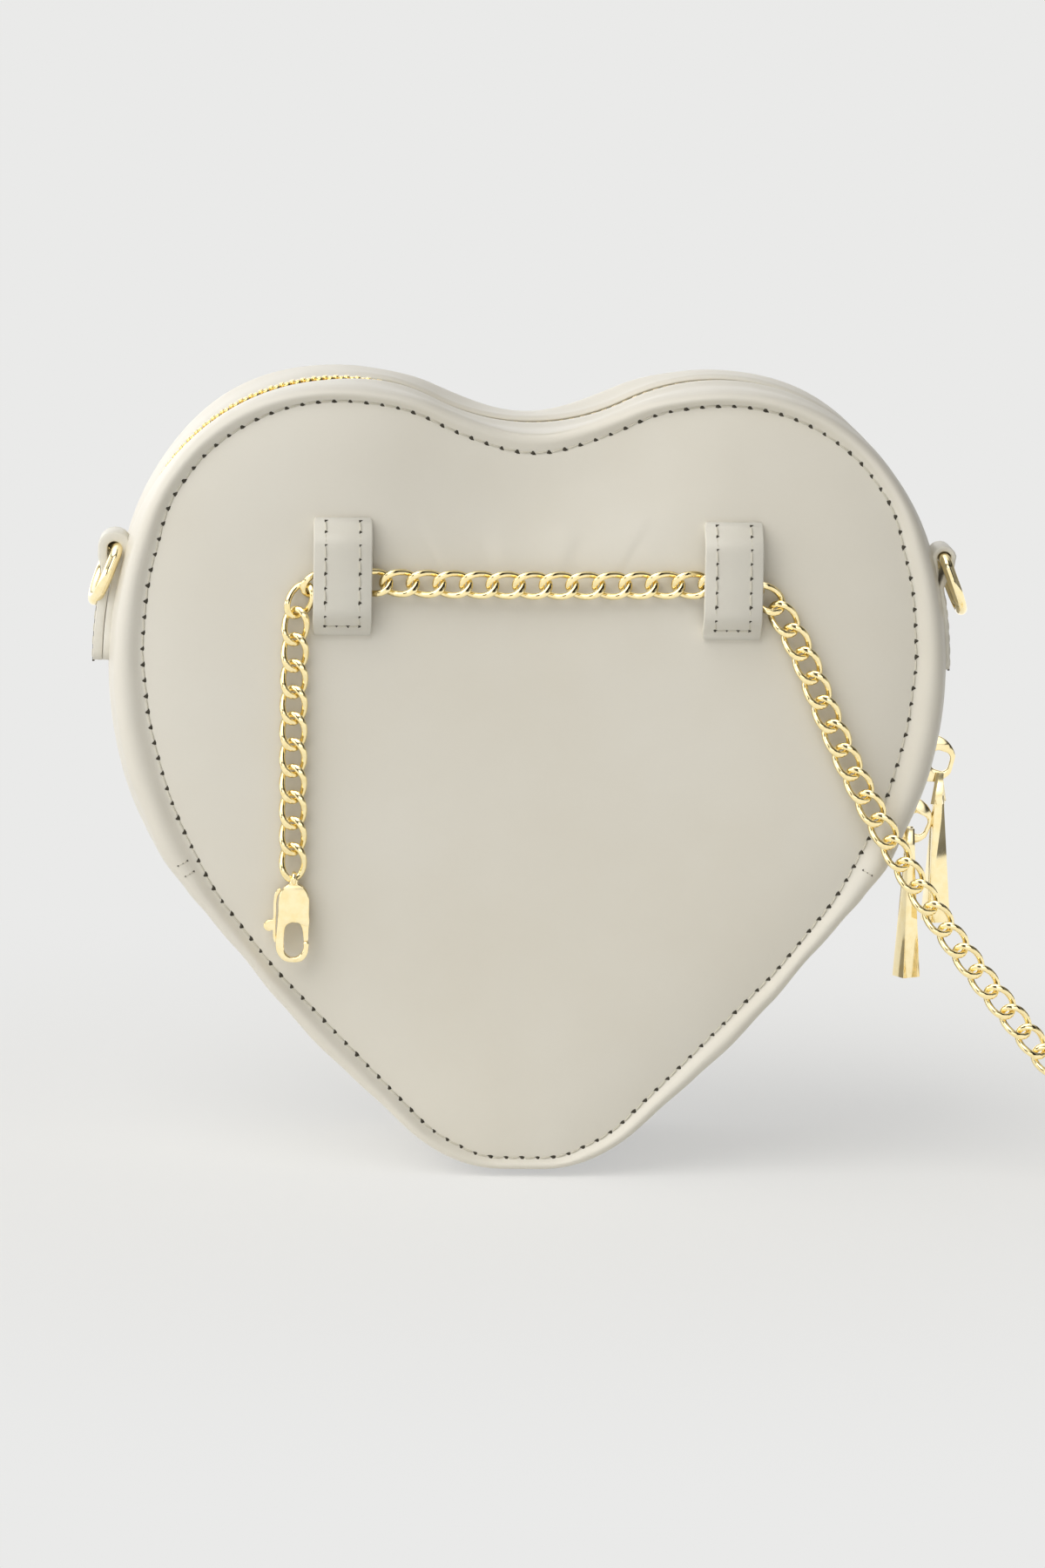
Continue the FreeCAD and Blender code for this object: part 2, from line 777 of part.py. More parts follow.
def clasp_lever():
    # gate arm down the right-hand side, thumb arm to the left with a ball at its end
    half = clasp_width / 2
    y = -lever_thickness / 2
    depth = Vector(0, lever_thickness, 0)
    pivot = Vector(lever_x, y, -lever_drop)
    hub = Part.makeCylinder(lever_hub, lever_thickness, pivot, across)
    gate_out = half - lever_inset
    gate_in = half - gate_width
    gate_points = [
        pivot + Vector(0, 0, lever_hub),
        Vector(gate_out, y, -lever_drop),
        Vector(gate_out, y, -gate_bottom + 2 * clearance),
        Vector(gate_in, y, -gate_bottom + 2 * clearance),
        Vector(gate_in, y, -gate_top),
        pivot - Vector(0, 0, lever_hub),
    ]
    gate_arm = polygon_prism(gate_points, depth)
    thumb = Vector(thumb_x, y, -thumb_drop)
    along = (thumb - pivot).normalize()
    side = Vector(-along.z, 0, along.x) * (lever_arm / 2)
    thumb_arm = polygon_prism([pivot + side, pivot - side, thumb - side, thumb + side], depth)
    ball = Part.makeCylinder(thumb_ball, 2 * thumb_ball, Vector(thumb_x, -thumb_ball, -thumb_drop), across)
    bore = Part.makeCylinder(lever_pin + pin_play, lever_thickness, pivot, across)
    return single(hub.fuse([gate_arm, thumb_arm, ball]).cut(bore).removeSplitter())


near_eye = Vector(hanging_x, chain_y, hanging_z - link_long - jump_ring_seat - jump_ring_radius)
near_turn = Rotation()
far_turn = Rotation(Vector(0, 1, 0), Vector(0, 0, 1), Vector(1, 0, 0), "XYZ")


def placed(shape, place, turn):
    shape.Placement = Placement(place, turn)
    return shape


def mirrored_x(shape):
    return shape.mirror(Vector(), Vector(1, 0, 0))


def mirrored_y(shape):
    return shape.mirror(Vector(), Vector(0, 1, 0))


def build():
    links = chain_links()
    coil_end = coil_side(0)[-1].Vertexes[-1].Point
    far_eye = Vector(coil_end.x - eye_outer - clearance, coil_end.y, thumb_ball + clearance)
    upper_pin = pin_place(upper_slider_angle, upper_pin_lift)
    lower_pin = pin_place(lower_slider_angle, lower_pin_lift)
    return {
        "back_panel": panel(),
        "front_panel": mirrored_y(panel()),
        "zip_gusset_back": zip_gusset(),
        "zip_gusset_front": mirrored_y(zip_gusset()),
        "lower_gusset": lower_gusset(),
        "zip_tape_back": zip_tape(),
        "zip_tape_front": mirrored_y(zip_tape()),
        "zip_teeth_back": teeth(tooth_root),
        "zip_teeth_front": mirrored_y(teeth(tooth_root + tooth_pitch / 2)),
        "zip_stops": zip_stops(),
        "upper_slider": on_side_curve(slider(False), upper_slider_angle),
        "lower_slider": on_side_curve(slider(True), lower_slider_angle),
        "upper_pull": pull(upper_pin),
        "lower_pull": pull(lower_pin),
        "right_ring_tab": ring_tab(),
        "left_ring_tab": mirrored_x(ring_tab()),
        "right_ring": ring(),
        "left_ring": mirrored_x(ring()),
        "right_belt_loop": belt_loop(1),
        "left_belt_loop": belt_loop(-1),
        "chain_hanging_end": Part.makeCompound(links[:hanging_links]),
        "chain_through_loops": Part.makeCompound(links[hanging_links : hanging_links + loop_links]),
        "chain_long_run": Part.makeCompound(links[hanging_links + loop_links :]),
        "chain_coil": chain_coil(),
        "near_jump_ring": placed(jump_ring(), near_eye, near_turn),
        "near_clasp_body": placed(clasp_body(), near_eye, near_turn),
        "near_clasp_lever": placed(clasp_lever(), near_eye, near_turn),
        "far_clasp_body": placed(clasp_body(), far_eye, far_turn),
        "far_clasp_lever": placed(clasp_lever(), far_eye, far_turn),
    }


os.makedirs("parts", exist_ok=True)
for name, shape in build().items():
    shape.exportStep(f"parts/{name}.step")
    print(f"{name}: {len(shape.Solids)} solid(s), volume {shape.Volume:.1f}")
print("slider centre of travel:", round(side_x, 3), round(side_z, 3))
print("upper pin:", pin_place(upper_slider_angle, upper_pin_lift))
print("lower pin:", pin_place(lower_slider_angle, lower_pin_lift))
print("ring centre:", ring_centre(), "hang:", round(ring_hang(), 2))
print("near eye:", near_eye)
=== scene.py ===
from functools import partial
from math import acos, atan2, cos, degrees, exp, hypot, pi, radians, sin, sqrt

import bmesh
import bpy
from mathutils import Matrix, Vector


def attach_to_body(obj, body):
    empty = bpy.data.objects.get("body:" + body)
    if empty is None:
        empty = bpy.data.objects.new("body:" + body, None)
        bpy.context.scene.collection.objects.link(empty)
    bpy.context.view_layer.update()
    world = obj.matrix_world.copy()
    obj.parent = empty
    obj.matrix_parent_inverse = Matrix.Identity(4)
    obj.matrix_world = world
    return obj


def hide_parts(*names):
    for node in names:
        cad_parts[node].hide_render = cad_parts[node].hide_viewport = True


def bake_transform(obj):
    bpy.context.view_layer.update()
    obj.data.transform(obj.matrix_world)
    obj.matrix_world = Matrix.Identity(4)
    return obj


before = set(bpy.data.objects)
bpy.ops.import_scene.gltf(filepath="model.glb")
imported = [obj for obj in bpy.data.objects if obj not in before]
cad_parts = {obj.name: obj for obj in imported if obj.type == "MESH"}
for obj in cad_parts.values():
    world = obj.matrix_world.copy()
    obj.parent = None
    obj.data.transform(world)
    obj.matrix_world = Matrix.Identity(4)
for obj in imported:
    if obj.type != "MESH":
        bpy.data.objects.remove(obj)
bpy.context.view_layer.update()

mm = 0.001
scene = bpy.context.scene
scene.view_settings.view_transform = "Standard"

# the long side of the 1200 x 1800 image is 1800 pixels
cameraSetup = {
    "target": (0.0, 0.0, 0.0914), "distance": 1.5, "azimuth": -2.5, "elevation": 9.0, "roll": 1.0,
    "focalPixels": 7005, "longSide": 1800, "sensor": 36,
}


def placeCamera(setup):
    turn, rise, roll = (radians(setup[key]) for key in ("azimuth", "elevation", "roll"))
    back = Vector((sin(turn) * cos(rise), -cos(turn) * cos(rise), sin(rise)))
    right = Vector((cos(turn), sin(turn), 0))
    up = back.cross(right)
    axes = Matrix((right * cos(roll) + up * sin(roll), up * cos(roll) - right * sin(roll), back))
    data = bpy.data.cameras.new("photoCamera")
    data.sensor_width = setup["sensor"]
    data.lens = setup["focalPixels"] * setup["sensor"] / setup["longSide"]
    data.clip_start = 0.05
    data.clip_end = 60
    camera = bpy.data.objects.new("photoCamera", data)
    place = Vector(setup["target"]) + back * setup["distance"]
    camera.matrix_world = Matrix.Translation(place) @ axes.transposed().to_4x4()
    scene.collection.objects.link(camera)
    scene.camera = camera


placeCamera(cameraSetup)
print("camera placed")


def linearColour(code):
    channels = [int(code[at:at + 2], 16) / 255 for at in (1, 3, 5)]
    return [c / 12.92 if c <= 0.04045 else ((c + 0.055) / 1.055) ** 2.4 for c in channels] + [1.0]


def addNode(tree, kind, inputs=None, stops=(), **settings):
    # gives the new node's outputs; a kind without Node in it is a shader node's
    # stops are place and colour of each mark on a ramp, in rising order
    node = tree.nodes.new(kind if "Node" in kind else "ShaderNode" + kind)
    for key, value in settings.items():
        setattr(node, key, value)
    for key, value in (inputs or {}).items():
        if isinstance(value, bpy.types.NodeSocket):
            tree.links.new(value, node.inputs[key])
        else:
            node.inputs[key].default_value = value
    for at, (position, colour) in enumerate(stops):
        marks = node.color_ramp.elements
        mark = marks[at] if at < 2 else marks.new(position)
        mark.position = position
        mark.color = colour
    return node.outputs


def twoTones(dark, light, low=0.0, high=1.0):
    return (low, linearColour(dark)), (high, linearColour(light))


def emptyNodes(holder):
    holder.use_nodes = True
    holder.node_tree.nodes.clear()
    return partial(addNode, holder.node_tree)


def newMaterial(name):
    material = bpy.data.materials.new(name)
    add = emptyNodes(material)
    return material, add, add("TexCoord")["Object"]


leatherSetup = {
    "pale": "#E5E1D6", "shade": "#E1DCCF", "roughness": 0.44, "grain": 0.10,
    "cloudSize": 45 * mm,   # slow change of tone over the hide
    "poreSize": 0.9 * mm,   # real pores are about 0.2 mm, drawn coarser so that they show
    "creaseSize": 7 * mm,
}


def leatherMaterial(name, **changes):
    # corrected-grain calf leather with a satin finish: even, softly shining, faint pores and tone
    setup = {**leatherSetup, **changes}
    material, add, place = newMaterial(name)
    cloud = add("TexNoise", {"Vector": place, "Scale": 1 / setup["cloudSize"], "Detail": 3.0})
    pores = add("TexVoronoi", {"Vector": place, "Scale": 1 / setup["poreSize"]})
    crease = add("TexNoise", {"Vector": place, "Scale": 1 / setup["creaseSize"], "Detail": 5.0})
    tones = twoTones(setup["shade"], setup["pale"], 0.32, 0.68)
    tone = add("ValToRGB", {"Fac": cloud["Fac"]}, tones)
    low, high = setup["roughness"] - 0.06, setup["roughness"] + 0.08
    gloss = add("MapRange", {"Value": crease["Fac"], "To Min": low, "To Max": high})
    grain = add("Bump", {"Strength": setup["grain"], "Distance": 0.12 * mm, "Height": pores["Distance"]})
    soft = add(
        "Bump",
        {"Strength": 0.10, "Distance": 0.5 * mm, "Height": crease["Fac"], "Normal": grain["Normal"]},
    )
    shader = add("BsdfPrincipled", {
        "Base Color": tone["Color"], "Roughness": gloss["Result"], "Normal": soft["Normal"], "IOR": 1.48,
        "Specular IOR Level": 0.42,
    })
    add("OutputMaterial", {"Surface": shader["BSDF"]})
    return material


ivoryLeather = leatherMaterial("satinCalfLeather")
stripLeather = leatherMaterial(
    "strapCalfLeather", pale="#DDDACF", shade="#D8D4C9", cloudSize=12 * mm, grain=0.08
)
edgePaint = leatherMaterial(
    "paintedLeatherEdge", pale="#EAE7DD", shade="#E2DED2", cloudSize=5 * mm, roughness=0.36, grain=0.04
)


def clothMaterial(name, light, dark, threadSize, roughness):
    # plain woven polyester: fine crossing ribs, matt
    material, add, place = newMaterial(name)
    ribs = {"Vector": place, "Scale": 1 / (threadSize * 2 * pi)}
    warp, weft = (add("TexWave", ribs, bands_direction=way) for way in ("DIAGONAL", "Y"))
    weave = add("Math", {0: warp["Fac"], 1: weft["Fac"]}, operation="MULTIPLY")
    tone = add("ValToRGB", {"Fac": weave["Value"]}, twoTones(dark, light))
    bump = add("Bump", {"Strength": 0.4, "Distance": 0.1 * mm, "Height": weave["Value"]})
    shader = add("BsdfPrincipled", {
        "Base Color": tone["Color"], "Roughness": roughness, "Normal": bump["Normal"], "Sheen Weight": 0.15,
    })
    add("OutputMaterial", {"Surface": shader["BSDF"]})
    return material


zipCloth = clothMaterial("wovenZipTape", "#DAD5C6", "#B9B3A2", 0.5 * mm, 0.85)
liningCloth = clothMaterial("twillLining", "#CFC7B4", "#B3AA95", 0.7 * mm, 0.8)


def goldMaterial(name, bright, deep, roughness, markSize):
    # pale gold plate on polished brass: mirror-like, with faint wear marks
    material, add, place = newMaterial(name)
    marks = add("TexNoise", {"Vector": place, "Scale": 1 / markSize, "Detail": 4.0})
    tone = add("ValToRGB", {"Fac": marks["Fac"]}, twoTones(deep, bright, 0.3, 0.6))
    gloss = add("MapRange", {"Value": marks["Fac"], "To Min": roughness - 0.03, "To Max": roughness + 0.04})
    bump = add("Bump", {"Strength": 0.02, "Distance": 0.03 * mm, "Height": marks["Fac"]})
    shader = add("BsdfPrincipled", {
        "Base Color": tone["Color"], "Metallic": 1.0, "Roughness": gloss["Result"], "Normal": bump["Normal"],
    })
    add("OutputMaterial", {"Surface": shader["BSDF"]})
    return material


hardwareGold = goldMaterial("polishedGoldPlate", "#FDEDBF", "#F9E5AE", 0.08, 2.2 * mm)
chainGold = goldMaterial("goldPlatedChain", "#FBEAB6", "#F5E0A4", 0.1, 1.4 * mm)
teethGold = goldMaterial("goldPlatedZipTeeth", "#EFD88F", "#DDC377", 0.2, 0.8 * mm)


def plainFinish(name, light, dark, size, roughness):
    material, add, place = newMaterial(name)
    noise = add("TexNoise", {"Vector": place, "Scale": 1 / size, "Detail": 2.0})
    tone = add("ValToRGB", {"Fac": noise["Fac"]}, twoTones(dark, light))
    bump = add("Bump", {"Strength": 0.3, "Distance": 0.05 * mm, "Height": noise["Fac"]})
    shader = add(
        "BsdfPrincipled",
        {"Base Color": tone["Color"], "Roughness": roughness, "Normal": bump["Normal"]},
    )
    add("OutputMaterial", {"Surface": shader["BSDF"]})
    return material


# a slightly shiny twist, and a dark fill that paints the shade inside each needle hole
sewingThread = plainFinish("waxedPolyesterThread", "#DEDACB", "#C3BEAD", 0.4 * mm, 0.5)
paintedHoleShade = plainFinish("shadowedNeedleHole", "#4E4A3E", "#332F26", 0.3 * mm, 0.9)
print("materials made")


def makePiece(name, points, faces, materials, body=None, nodes=(), slotName=None):
    # points in millimetres; the place is in the mesh and the object sits at the origin
    mesh = bpy.data.meshes.new(name)
    mesh.from_pydata([[c * mm for c in p] for p in points], [], faces)
    piece = bpy.data.objects.new(name, mesh)
    scene.collection.objects.link(piece)
    for material in materials if isinstance(materials, list) else [materials]:
        mesh.materials.append(material)
    tidyNormals(mesh)
    shadeSmooth(piece)
    attach(piece, body, nodes, slotName)
    return piece


def tidyNormals(mesh):
    shape = bmesh.new()
    shape.from_mesh(mesh)
    bmesh.ops.remove_doubles(shape, verts=shape.verts, dist=0.002 * mm)
    bmesh.ops.recalc_face_normals(shape, faces=shape.faces)
    shape.to_mesh(mesh)
    shape.free()


def shadeSmooth(piece):
    piece.data.polygons.foreach_set("use_smooth", [True] * len(piece.data.polygons))


def attach(piece, body=None, nodes=(), slotName=None):
    if body:
        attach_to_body(piece, body)
    if nodes:
        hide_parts(*nodes)


def finalMesh(piece):
    return bpy.data.meshes.new_from_object(piece.evaluated_get(bpy.context.evaluated_depsgraph_get()))


def applyModifiers(piece):
    # the modifiers become part of a plain mesh
    shape = finalMesh(piece)
    piece.modifiers.clear()
    piece.data = shape


def ringFaces(rings, count, closed=False):
    # quads between rings of points, each ring joined round
    faces = []
    for ring in range(rings if closed else rings - 1):
        here = ring * count
        there = (ring + 1) % rings * count
        for at in range(count):
            after = (at + 1) % count
            faces.append((here + at, here + after, there + after, there + at))
    return faces


def cappedFaces(rings, count):
    # rings of points with a face over each end
    return ringFaces(rings, count) + [tuple(range(count)), tuple(range((rings - 1) * count, rings * count))]


def headings(points, closed=False):
    # direction of a line at each of its points
    last = len(points) - 1
    ways = []
    for at in range(last + 1):
        before = at - 1 if closed else max(at - 1, 0)
        after = (at + 1) % (last + 1) if closed else min(at + 1, last)
        ways.append((points[after] - points[before]).normalized())
    return ways


def tubeAlong(path, radius, sides, closed=True):
    # round wire along points, its section carried along without twisting
    points = [Vector(p) for p in path]
    ways = headings(points, closed)
    side = ways[0].orthogonal().normalized()
    rings = []
    for place, along in zip(points, ways):
        side = (side - along * side.dot(along)).normalized()
        other = along.cross(side)
        for angle in (2 * pi * turn / sides for turn in range(sides)):
            rings.append(place + (side * cos(angle) + other * sin(angle)) * radius)
    return rings, ringFaces(len(points), sides, True) if closed else cappedFaces(len(points), sides)


def repeatTree(name):
    # sets a pattern on points: X along the line and Z out of the surface
    tree = bpy.data.node_groups.new(name, "GeometryNodeTree")
    add = partial(addNode, tree)
    sockets = {}
    kinds = {
        "Geometry": "Geometry", "Pattern": "Object", "Size": "Float", "Uneven": "Float", "Seed": "Int",
        "Finish": "Material",
    }
    for label, kind in kinds.items():
        socket = tree.interface.new_socket(label, in_out="INPUT", socket_type="NodeSocket" + kind)
        sockets[label] = socket.identifier
    tree.interface.new_socket("Geometry", in_out="OUTPUT", socket_type="NodeSocketGeometry")
    given = add("NodeGroupInput")
    along, face = (
        add("GeometryNodeInputNamedAttribute", {"Name": label}, data_type="FLOAT_VECTOR")["Attribute"]
        for label in ("along", "face")
    )
    turned = add("FunctionNodeAlignRotationToVector", {"Vector": along}, axis="X")
    laid = add(
        "FunctionNodeAlignRotationToVector", {"Rotation": turned["Rotation"], "Vector": face}, axis="Z",
        pivot_axis="X",
    )
    low, high = (
        add("Math", {0: given["Size"], 1: given["Uneven"]}, operation=sign)["Value"]
        for sign in ("SUBTRACT", "ADD")
    )
    spread = add("FunctionNodeRandomValue", {2: low, 3: high, "Seed": given["Seed"]}, data_type="FLOAT")
    pattern = add("GeometryNodeObjectInfo", {"Object": given["Pattern"]})
    placed = add("GeometryNodeInstanceOnPoints", {
        "Points": given["Geometry"], "Instance": pattern["Geometry"], "Rotation": laid["Rotation"],
        "Scale": spread[1],
    })
    solid = add("GeometryNodeRealizeInstances", {"Geometry": placed["Instances"]})
    finished = add("GeometryNodeSetMaterial", {"Geometry": solid["Geometry"], "Material": given["Finish"]})
    add("NodeGroupOutput", {"Geometry": finished["Geometry"]})
    return tree, sockets


repeatGroup, repeatSockets = repeatTree("repeatAlong")
repeatSeed = 4


def repeatPattern(name, spots, pattern, material, body, nodes, slotName, uneven=0.0, size=1.0):
    # spots: place, along and face of each copy, in metres
    mesh = bpy.data.meshes.new(name)
    mesh.from_pydata([spot[0] for spot in spots], [], [])
    for label, column in (("along", 1), ("face", 2)):
        layer = mesh.attributes.new(label, "FLOAT_VECTOR", "POINT")
        layer.data.foreach_set("vector", [c for spot in spots for c in spot[column]])
    piece = bpy.data.objects.new(name, mesh)
    scene.collection.objects.link(piece)
    modifier = piece.modifiers.new("repeat", "NODES")
    modifier.node_group = repeatGroup
    given = {"Pattern": pattern, "Size": size, "Uneven": uneven, "Seed": repeatSeed, "Finish": material}
    for label, value in given.items():
        modifier[repeatSockets[label]] = value
    applyModifiers(piece)
    for label in ("along", "face"):
        if label in piece.data.attributes:
            piece.data.attributes.remove(piece.data.attributes[label])
    shadeSmooth(piece)
    attach(piece, body, nodes, slotName)
    return piece


def patternObject(name, points, faces):
    piece = makePiece(name, points, faces, chainGold)
    scene.collection.objects.unlink(piece)
    return piece


# the chain's route, as in the part's source, in millimetres, then the put-away coil on the floor
chainSetup = {
    "pitch": 6.34, "wire": 1.5, "long": 4.15, "wide": 2.65, "twist": 1.1, "flat": 0.8, "oval": 1.08,
    "facet": 0.4, "facetLean": 0.25, "facetFrom": 125, "facetTo": 178,   # cut between these degrees of a link
    "turnHeight": 46, "floor": 2.0, "coilX": 168, "coilY": -37, "coilRun": 80, "coilRadius": 22,
    "coilStep": 4, "coilTurns": 5, "coilTail": 14,
}
chainRoute = [
    (-56.4, -36.4, 77.6), (-56.7, -36.4, 106), (-56.6, -36.4, 126.5), (-56.2, -36.4, 145.6),
    (-36.5, -36.4, 145.4), (-14, -36.4, 145.1), (14, -36.4, 145.2), (40, -36.4, 145.8), (55.6, -36.4, 145.6),
    (64.6, -36.4, 131), (70.6, -36.4, 116), (78.5, -36.4, 99), (88, -36.4, 82.5), (98.5, -36.6, 66.5),
    (109.5, -37, 51.8), (120.5, -37.4, 38.6), (130, -37.6, 27.2), (139, -37.6, 17), (148, -37.4, 8.4),
    (157, -37.2, 3.3), (168, -37, 2.0),
]


def coilPoints(setup, steps=8):
    # half turns of falling radius between two straight sides, walked inward
    points = []
    y = setup["coilY"]
    for index in range(setup["coilTurns"]):
        radius = setup["coilRadius"] - index * setup["coilStep"]
        side = 1 if index % 2 == 0 else -1
        x = setup["coilX"] + (setup["coilRun"] if side > 0 else 0)
        middle = y + side * radius
        reach = radius / cos(pi / (2 * steps))
        points.append((x - side * setup["coilRun"] / 2, y, setup["floor"]))
        for step in range(steps):
            turn = -pi / 2 + pi * (step + 0.5) / steps
            points.append((x + side * reach * cos(turn), middle + side * reach * sin(turn), setup["floor"]))
        y += 2 * side * radius
    for share in (0.5, 1.0):
        points.append((setup["coilX"] + setup["coilRun"] - setup["coilTail"] * share, y, setup["floor"]))
    return points


def newLine(name, kind, dimensions, places):
    curve = bpy.data.curves.new(name, "CURVE")
    curve.dimensions = dimensions
    line = curve.splines.new(kind)
    line.points.add(len(places) - 1)
    for point, place in zip(line.points, places):
        point.co = (*place, 1)
    return curve, line


def curveMesh(name, curve):
    holder = bpy.data.objects.new(name, curve)
    scene.collection.objects.link(holder)
    mesh = finalMesh(holder)
    bpy.data.objects.remove(holder)
    return mesh


def splinePoints(name, route):
    # points read from the smooth line with the route as its control points
    curve, line = newLine(name, "NURBS", "3D", [[c * mm for c in place] for place in route])
    line.order_u = 3
    line.use_endpoint_u = True
    line.resolution_u = 12
    return [v.co.copy() for v in curveMesh(name, curve).vertices]


def evenly(points, pitch):
    # equal steps along a line of points, the pitch adjusted to end on the last one, and the line's length
    lengths = [(b - a).length for a, b in zip(points, points[1:])]
    total = sum(lengths)
    count = round(total / pitch)
    spots = []
    at = 0
    walked = 0.0
    for step in range(count + 1):
        goal = total * step / count
        while at < len(lengths) - 1 and walked + lengths[at] < goal:
            walked += lengths[at]
            at += 1
        share = min((goal - walked) / lengths[at], 1.0)
        spots.append(points[at].lerp(points[at + 1], share))
    return spots, total


def linkMesh(setup, steps=24, sides=8):
    # one curb link: a twisted oval, hammered flat in front and behind and cut to a facet on two shoulders
    long, wide, twist = setup["long"], setup["wide"], setup["twist"]
    reach = setup["wire"] / 2
    limit = (twist + reach) * setup["flat"]
    points = []
    for step in range(steps):
        turn = 2 * pi * step / steps
        centre = Vector((long * cos(turn), wide * sin(turn), -twist * sin(2 * turn)))
        along = Vector((-long * sin(turn), wide * cos(turn), -2 * twist * cos(2 * turn))).normalized()
        outward = Vector((cos(turn) / long, sin(turn) / wide, 0))
        outward = (outward - along * outward.dot(along)).normalized()
        upward = along.cross(outward)
        cut = setup["facetFrom"] <= degrees(turn) % 180 <= setup["facetTo"]
        for side in range(sides):
            angle = 2 * pi * (side + 0.5) / sides
            lift = sin(angle)
            if cut:
                lift = max(lift, setup["facetLean"] * cos(angle) - setup["facet"])
            point = centre + outward * (cos(angle) * reach * setup["oval"]) + upward * (lift * reach)
            point.z = max(-limit, min(limit, point.z))
            points.append(point)
    return points, ringFaces(steps, sides, True)


chainLine = splinePoints("chainLine", chainRoute + coilPoints(chainSetup))
chainSpots, chainLength = evenly(chainLine, chainSetup["pitch"] * mm)


def linkSpots(spots):
    # links lie flat to the viewer on the bag and turn upward on the way to the floor
    high, low = chainSetup["turnHeight"] * mm, chainSetup["floor"] * mm
    placed = []
    for place, along in zip(spots, headings(spots)):
        turn = min(max((high - place.z) / (high - low), 0), 1) * pi / 2
        placed.append((place, along, Vector((0, -cos(turn), sin(turn)))))
    return placed


linkPattern = patternObject("curbLink", *linkMesh(chainSetup))
curbChain = repeatPattern(
    "curb_chain", linkSpots(chainSpots), linkPattern, chainGold, "bag_back",
    ("chain_hanging_end", "chain_through_loops", "chain_long_run", "chain_coil"), "chain_brass",
)
print("chain made:", len(chainSpots), "links,", round(chainLength, 3), "m")

# the bag's outline: radii of its arcs, the flat foot, and the angle where the side curve runs into the lobe
heart = {
    "width": 200.0, "height": 191.5, "foot": 9.0, "lobe": 50.996, "side": 100.001, "tip": 33.991,
    "notch": 51.992, "blend": 20.0,
}


def heartHalf(h):
    # straight and round stretches of the right-hand half, from the foot up to the notch
    blend = radians(h["blend"])
    lobeX = h["width"] / 2 - h["lobe"] * cos(blend) - h["side"] * (1 - cos(blend))
    lobeZ = h["height"] - h["lobe"]
    sideX = lobeX - (h["side"] - h["lobe"]) * cos(blend)
    sideZ = lobeZ - (h["side"] - h["lobe"]) * sin(blend)
    notchZ = lobeZ + sqrt((h["lobe"] + h["notch"]) ** 2 - lobeX**2)
    lobeEnd = atan2(notchZ - lobeZ, -lobeX)
    tipX = h["foot"] / 2
    reach = hypot(sideX - tipX, sideZ - h["tip"])
    flank = atan2(sideZ - h["tip"], sideX - tipX) - acos((h["tip"] - h["side"]) / reach)
    low = Vector((tipX + h["tip"] * cos(flank), h["tip"] + h["tip"] * sin(flank)))
    high = Vector((sideX + h["side"] * cos(flank), sideZ + h["side"] * sin(flank)))
    return [
        ("line", Vector((0, 0)), Vector((tipX, 0)), tipX),
        ("arc", Vector((tipX, h["tip"])), h["tip"], -pi / 2, flank),
        ("line", low, high, (high - low).length),
        ("arc", Vector((sideX, sideZ)), h["side"], flank, blend),
        ("arc", Vector((lobeX, lobeZ)), h["lobe"], blend, lobeEnd),
        ("arc", Vector((0, notchZ)), h["notch"], lobeEnd - pi, -pi / 2),
    ]


def stretchLength(stretch):
    return stretch[3] if stretch[0] == "line" else stretch[2] * abs(stretch[4] - stretch[3])


halfStretches = heartHalf(heart)
halfLength = sum(stretchLength(stretch) for stretch in halfStretches)
sideStart = sum(stretchLength(stretch) for stretch in halfStretches[:3])
sideArc = halfStretches[3]


def alongSide(angle):
    # distance from the foot to this angle on the right-hand side curve
    return sideStart + sideArc[2] * (radians(angle) - sideArc[3])


def heartAt(distance):
    # place and outward direction, as x and z, on the outline counted from the foot up the right-hand side
    walk = distance % (2 * halfLength)
    mirror = walk > halfLength
    if mirror:
        walk = 2 * halfLength - walk
    for stretch in halfStretches:
        length = stretchLength(stretch)
        if walk <= length or stretch is halfStretches[-1]:
            break
        walk -= length
    share = min(walk / length, 1.0)
    if stretch[0] == "line":
        place = stretch[1].lerp(stretch[2], share)
        step = (stretch[2] - stretch[1]).normalized()
        normal = Vector((step.y, -step.x))
    else:
        angle = stretch[3] + (stretch[4] - stretch[3]) * share
        spoke = Vector((cos(angle), sin(angle)))
        place = stretch[1] + spoke * stretch[2]
        normal = spoke if stretch[4] > stretch[3] else -spoke
    if mirror:
        place = Vector((-place.x, place.y))
        normal = Vector((-normal.x, normal.y))
    return place, normal


def outlinePoints(count):
    return [heartAt(2 * halfLength * step / count) for step in range(count)]


panelSetup = {
    "steps": 400, "middle": (0, 112), "valley": 31.2, "lining": 28.4,
    "inside": ((16.0, 28.4), (4.0, 27.9), (1.4, 27.5)),   # inset and depth of the lined face
    "spread": (0.08, 0.2, 0.35, 0.52, 0.7, 0.86), "settle": (-0.5, 0.7),
}
# rim from the gusset seam to the stitch line: share of the inset, and distance from the bag's middle
rimProfile = (
    (0, 27.8), (0, 28.6), (0.01, 29.4), (0.04, 30.3), (0.1, 31.2), (0.19, 32), (0.31, 32.55), (0.44, 32.75),
    (0.57, 32.6), (0.7, 32.15), (0.82, 31.6), (0.92, 31.28), (1, 31.2),
)
# padding from the stitch line inward: it rises steeply at first, more slowly under the notch, and evens out
padSetup = {
    "crown": 34.35, "reach": 11.0, "steps": (0.4, 1.0, 2.0, 3.5, 5.5, 8.0, 11.0, 15.0, 20.0),
    "notch": 6.0, "notchHeights": (150, 168), "notchAcross": 52,
    "dent": 2.2, "dentAt": (0, 168), "dentSize": 48.0, "dentLevels": (28.5, 31.0),
    "flatRim": 1.0, "rimLevels": (31.2, 32.75), "rimFrom": 154,
}
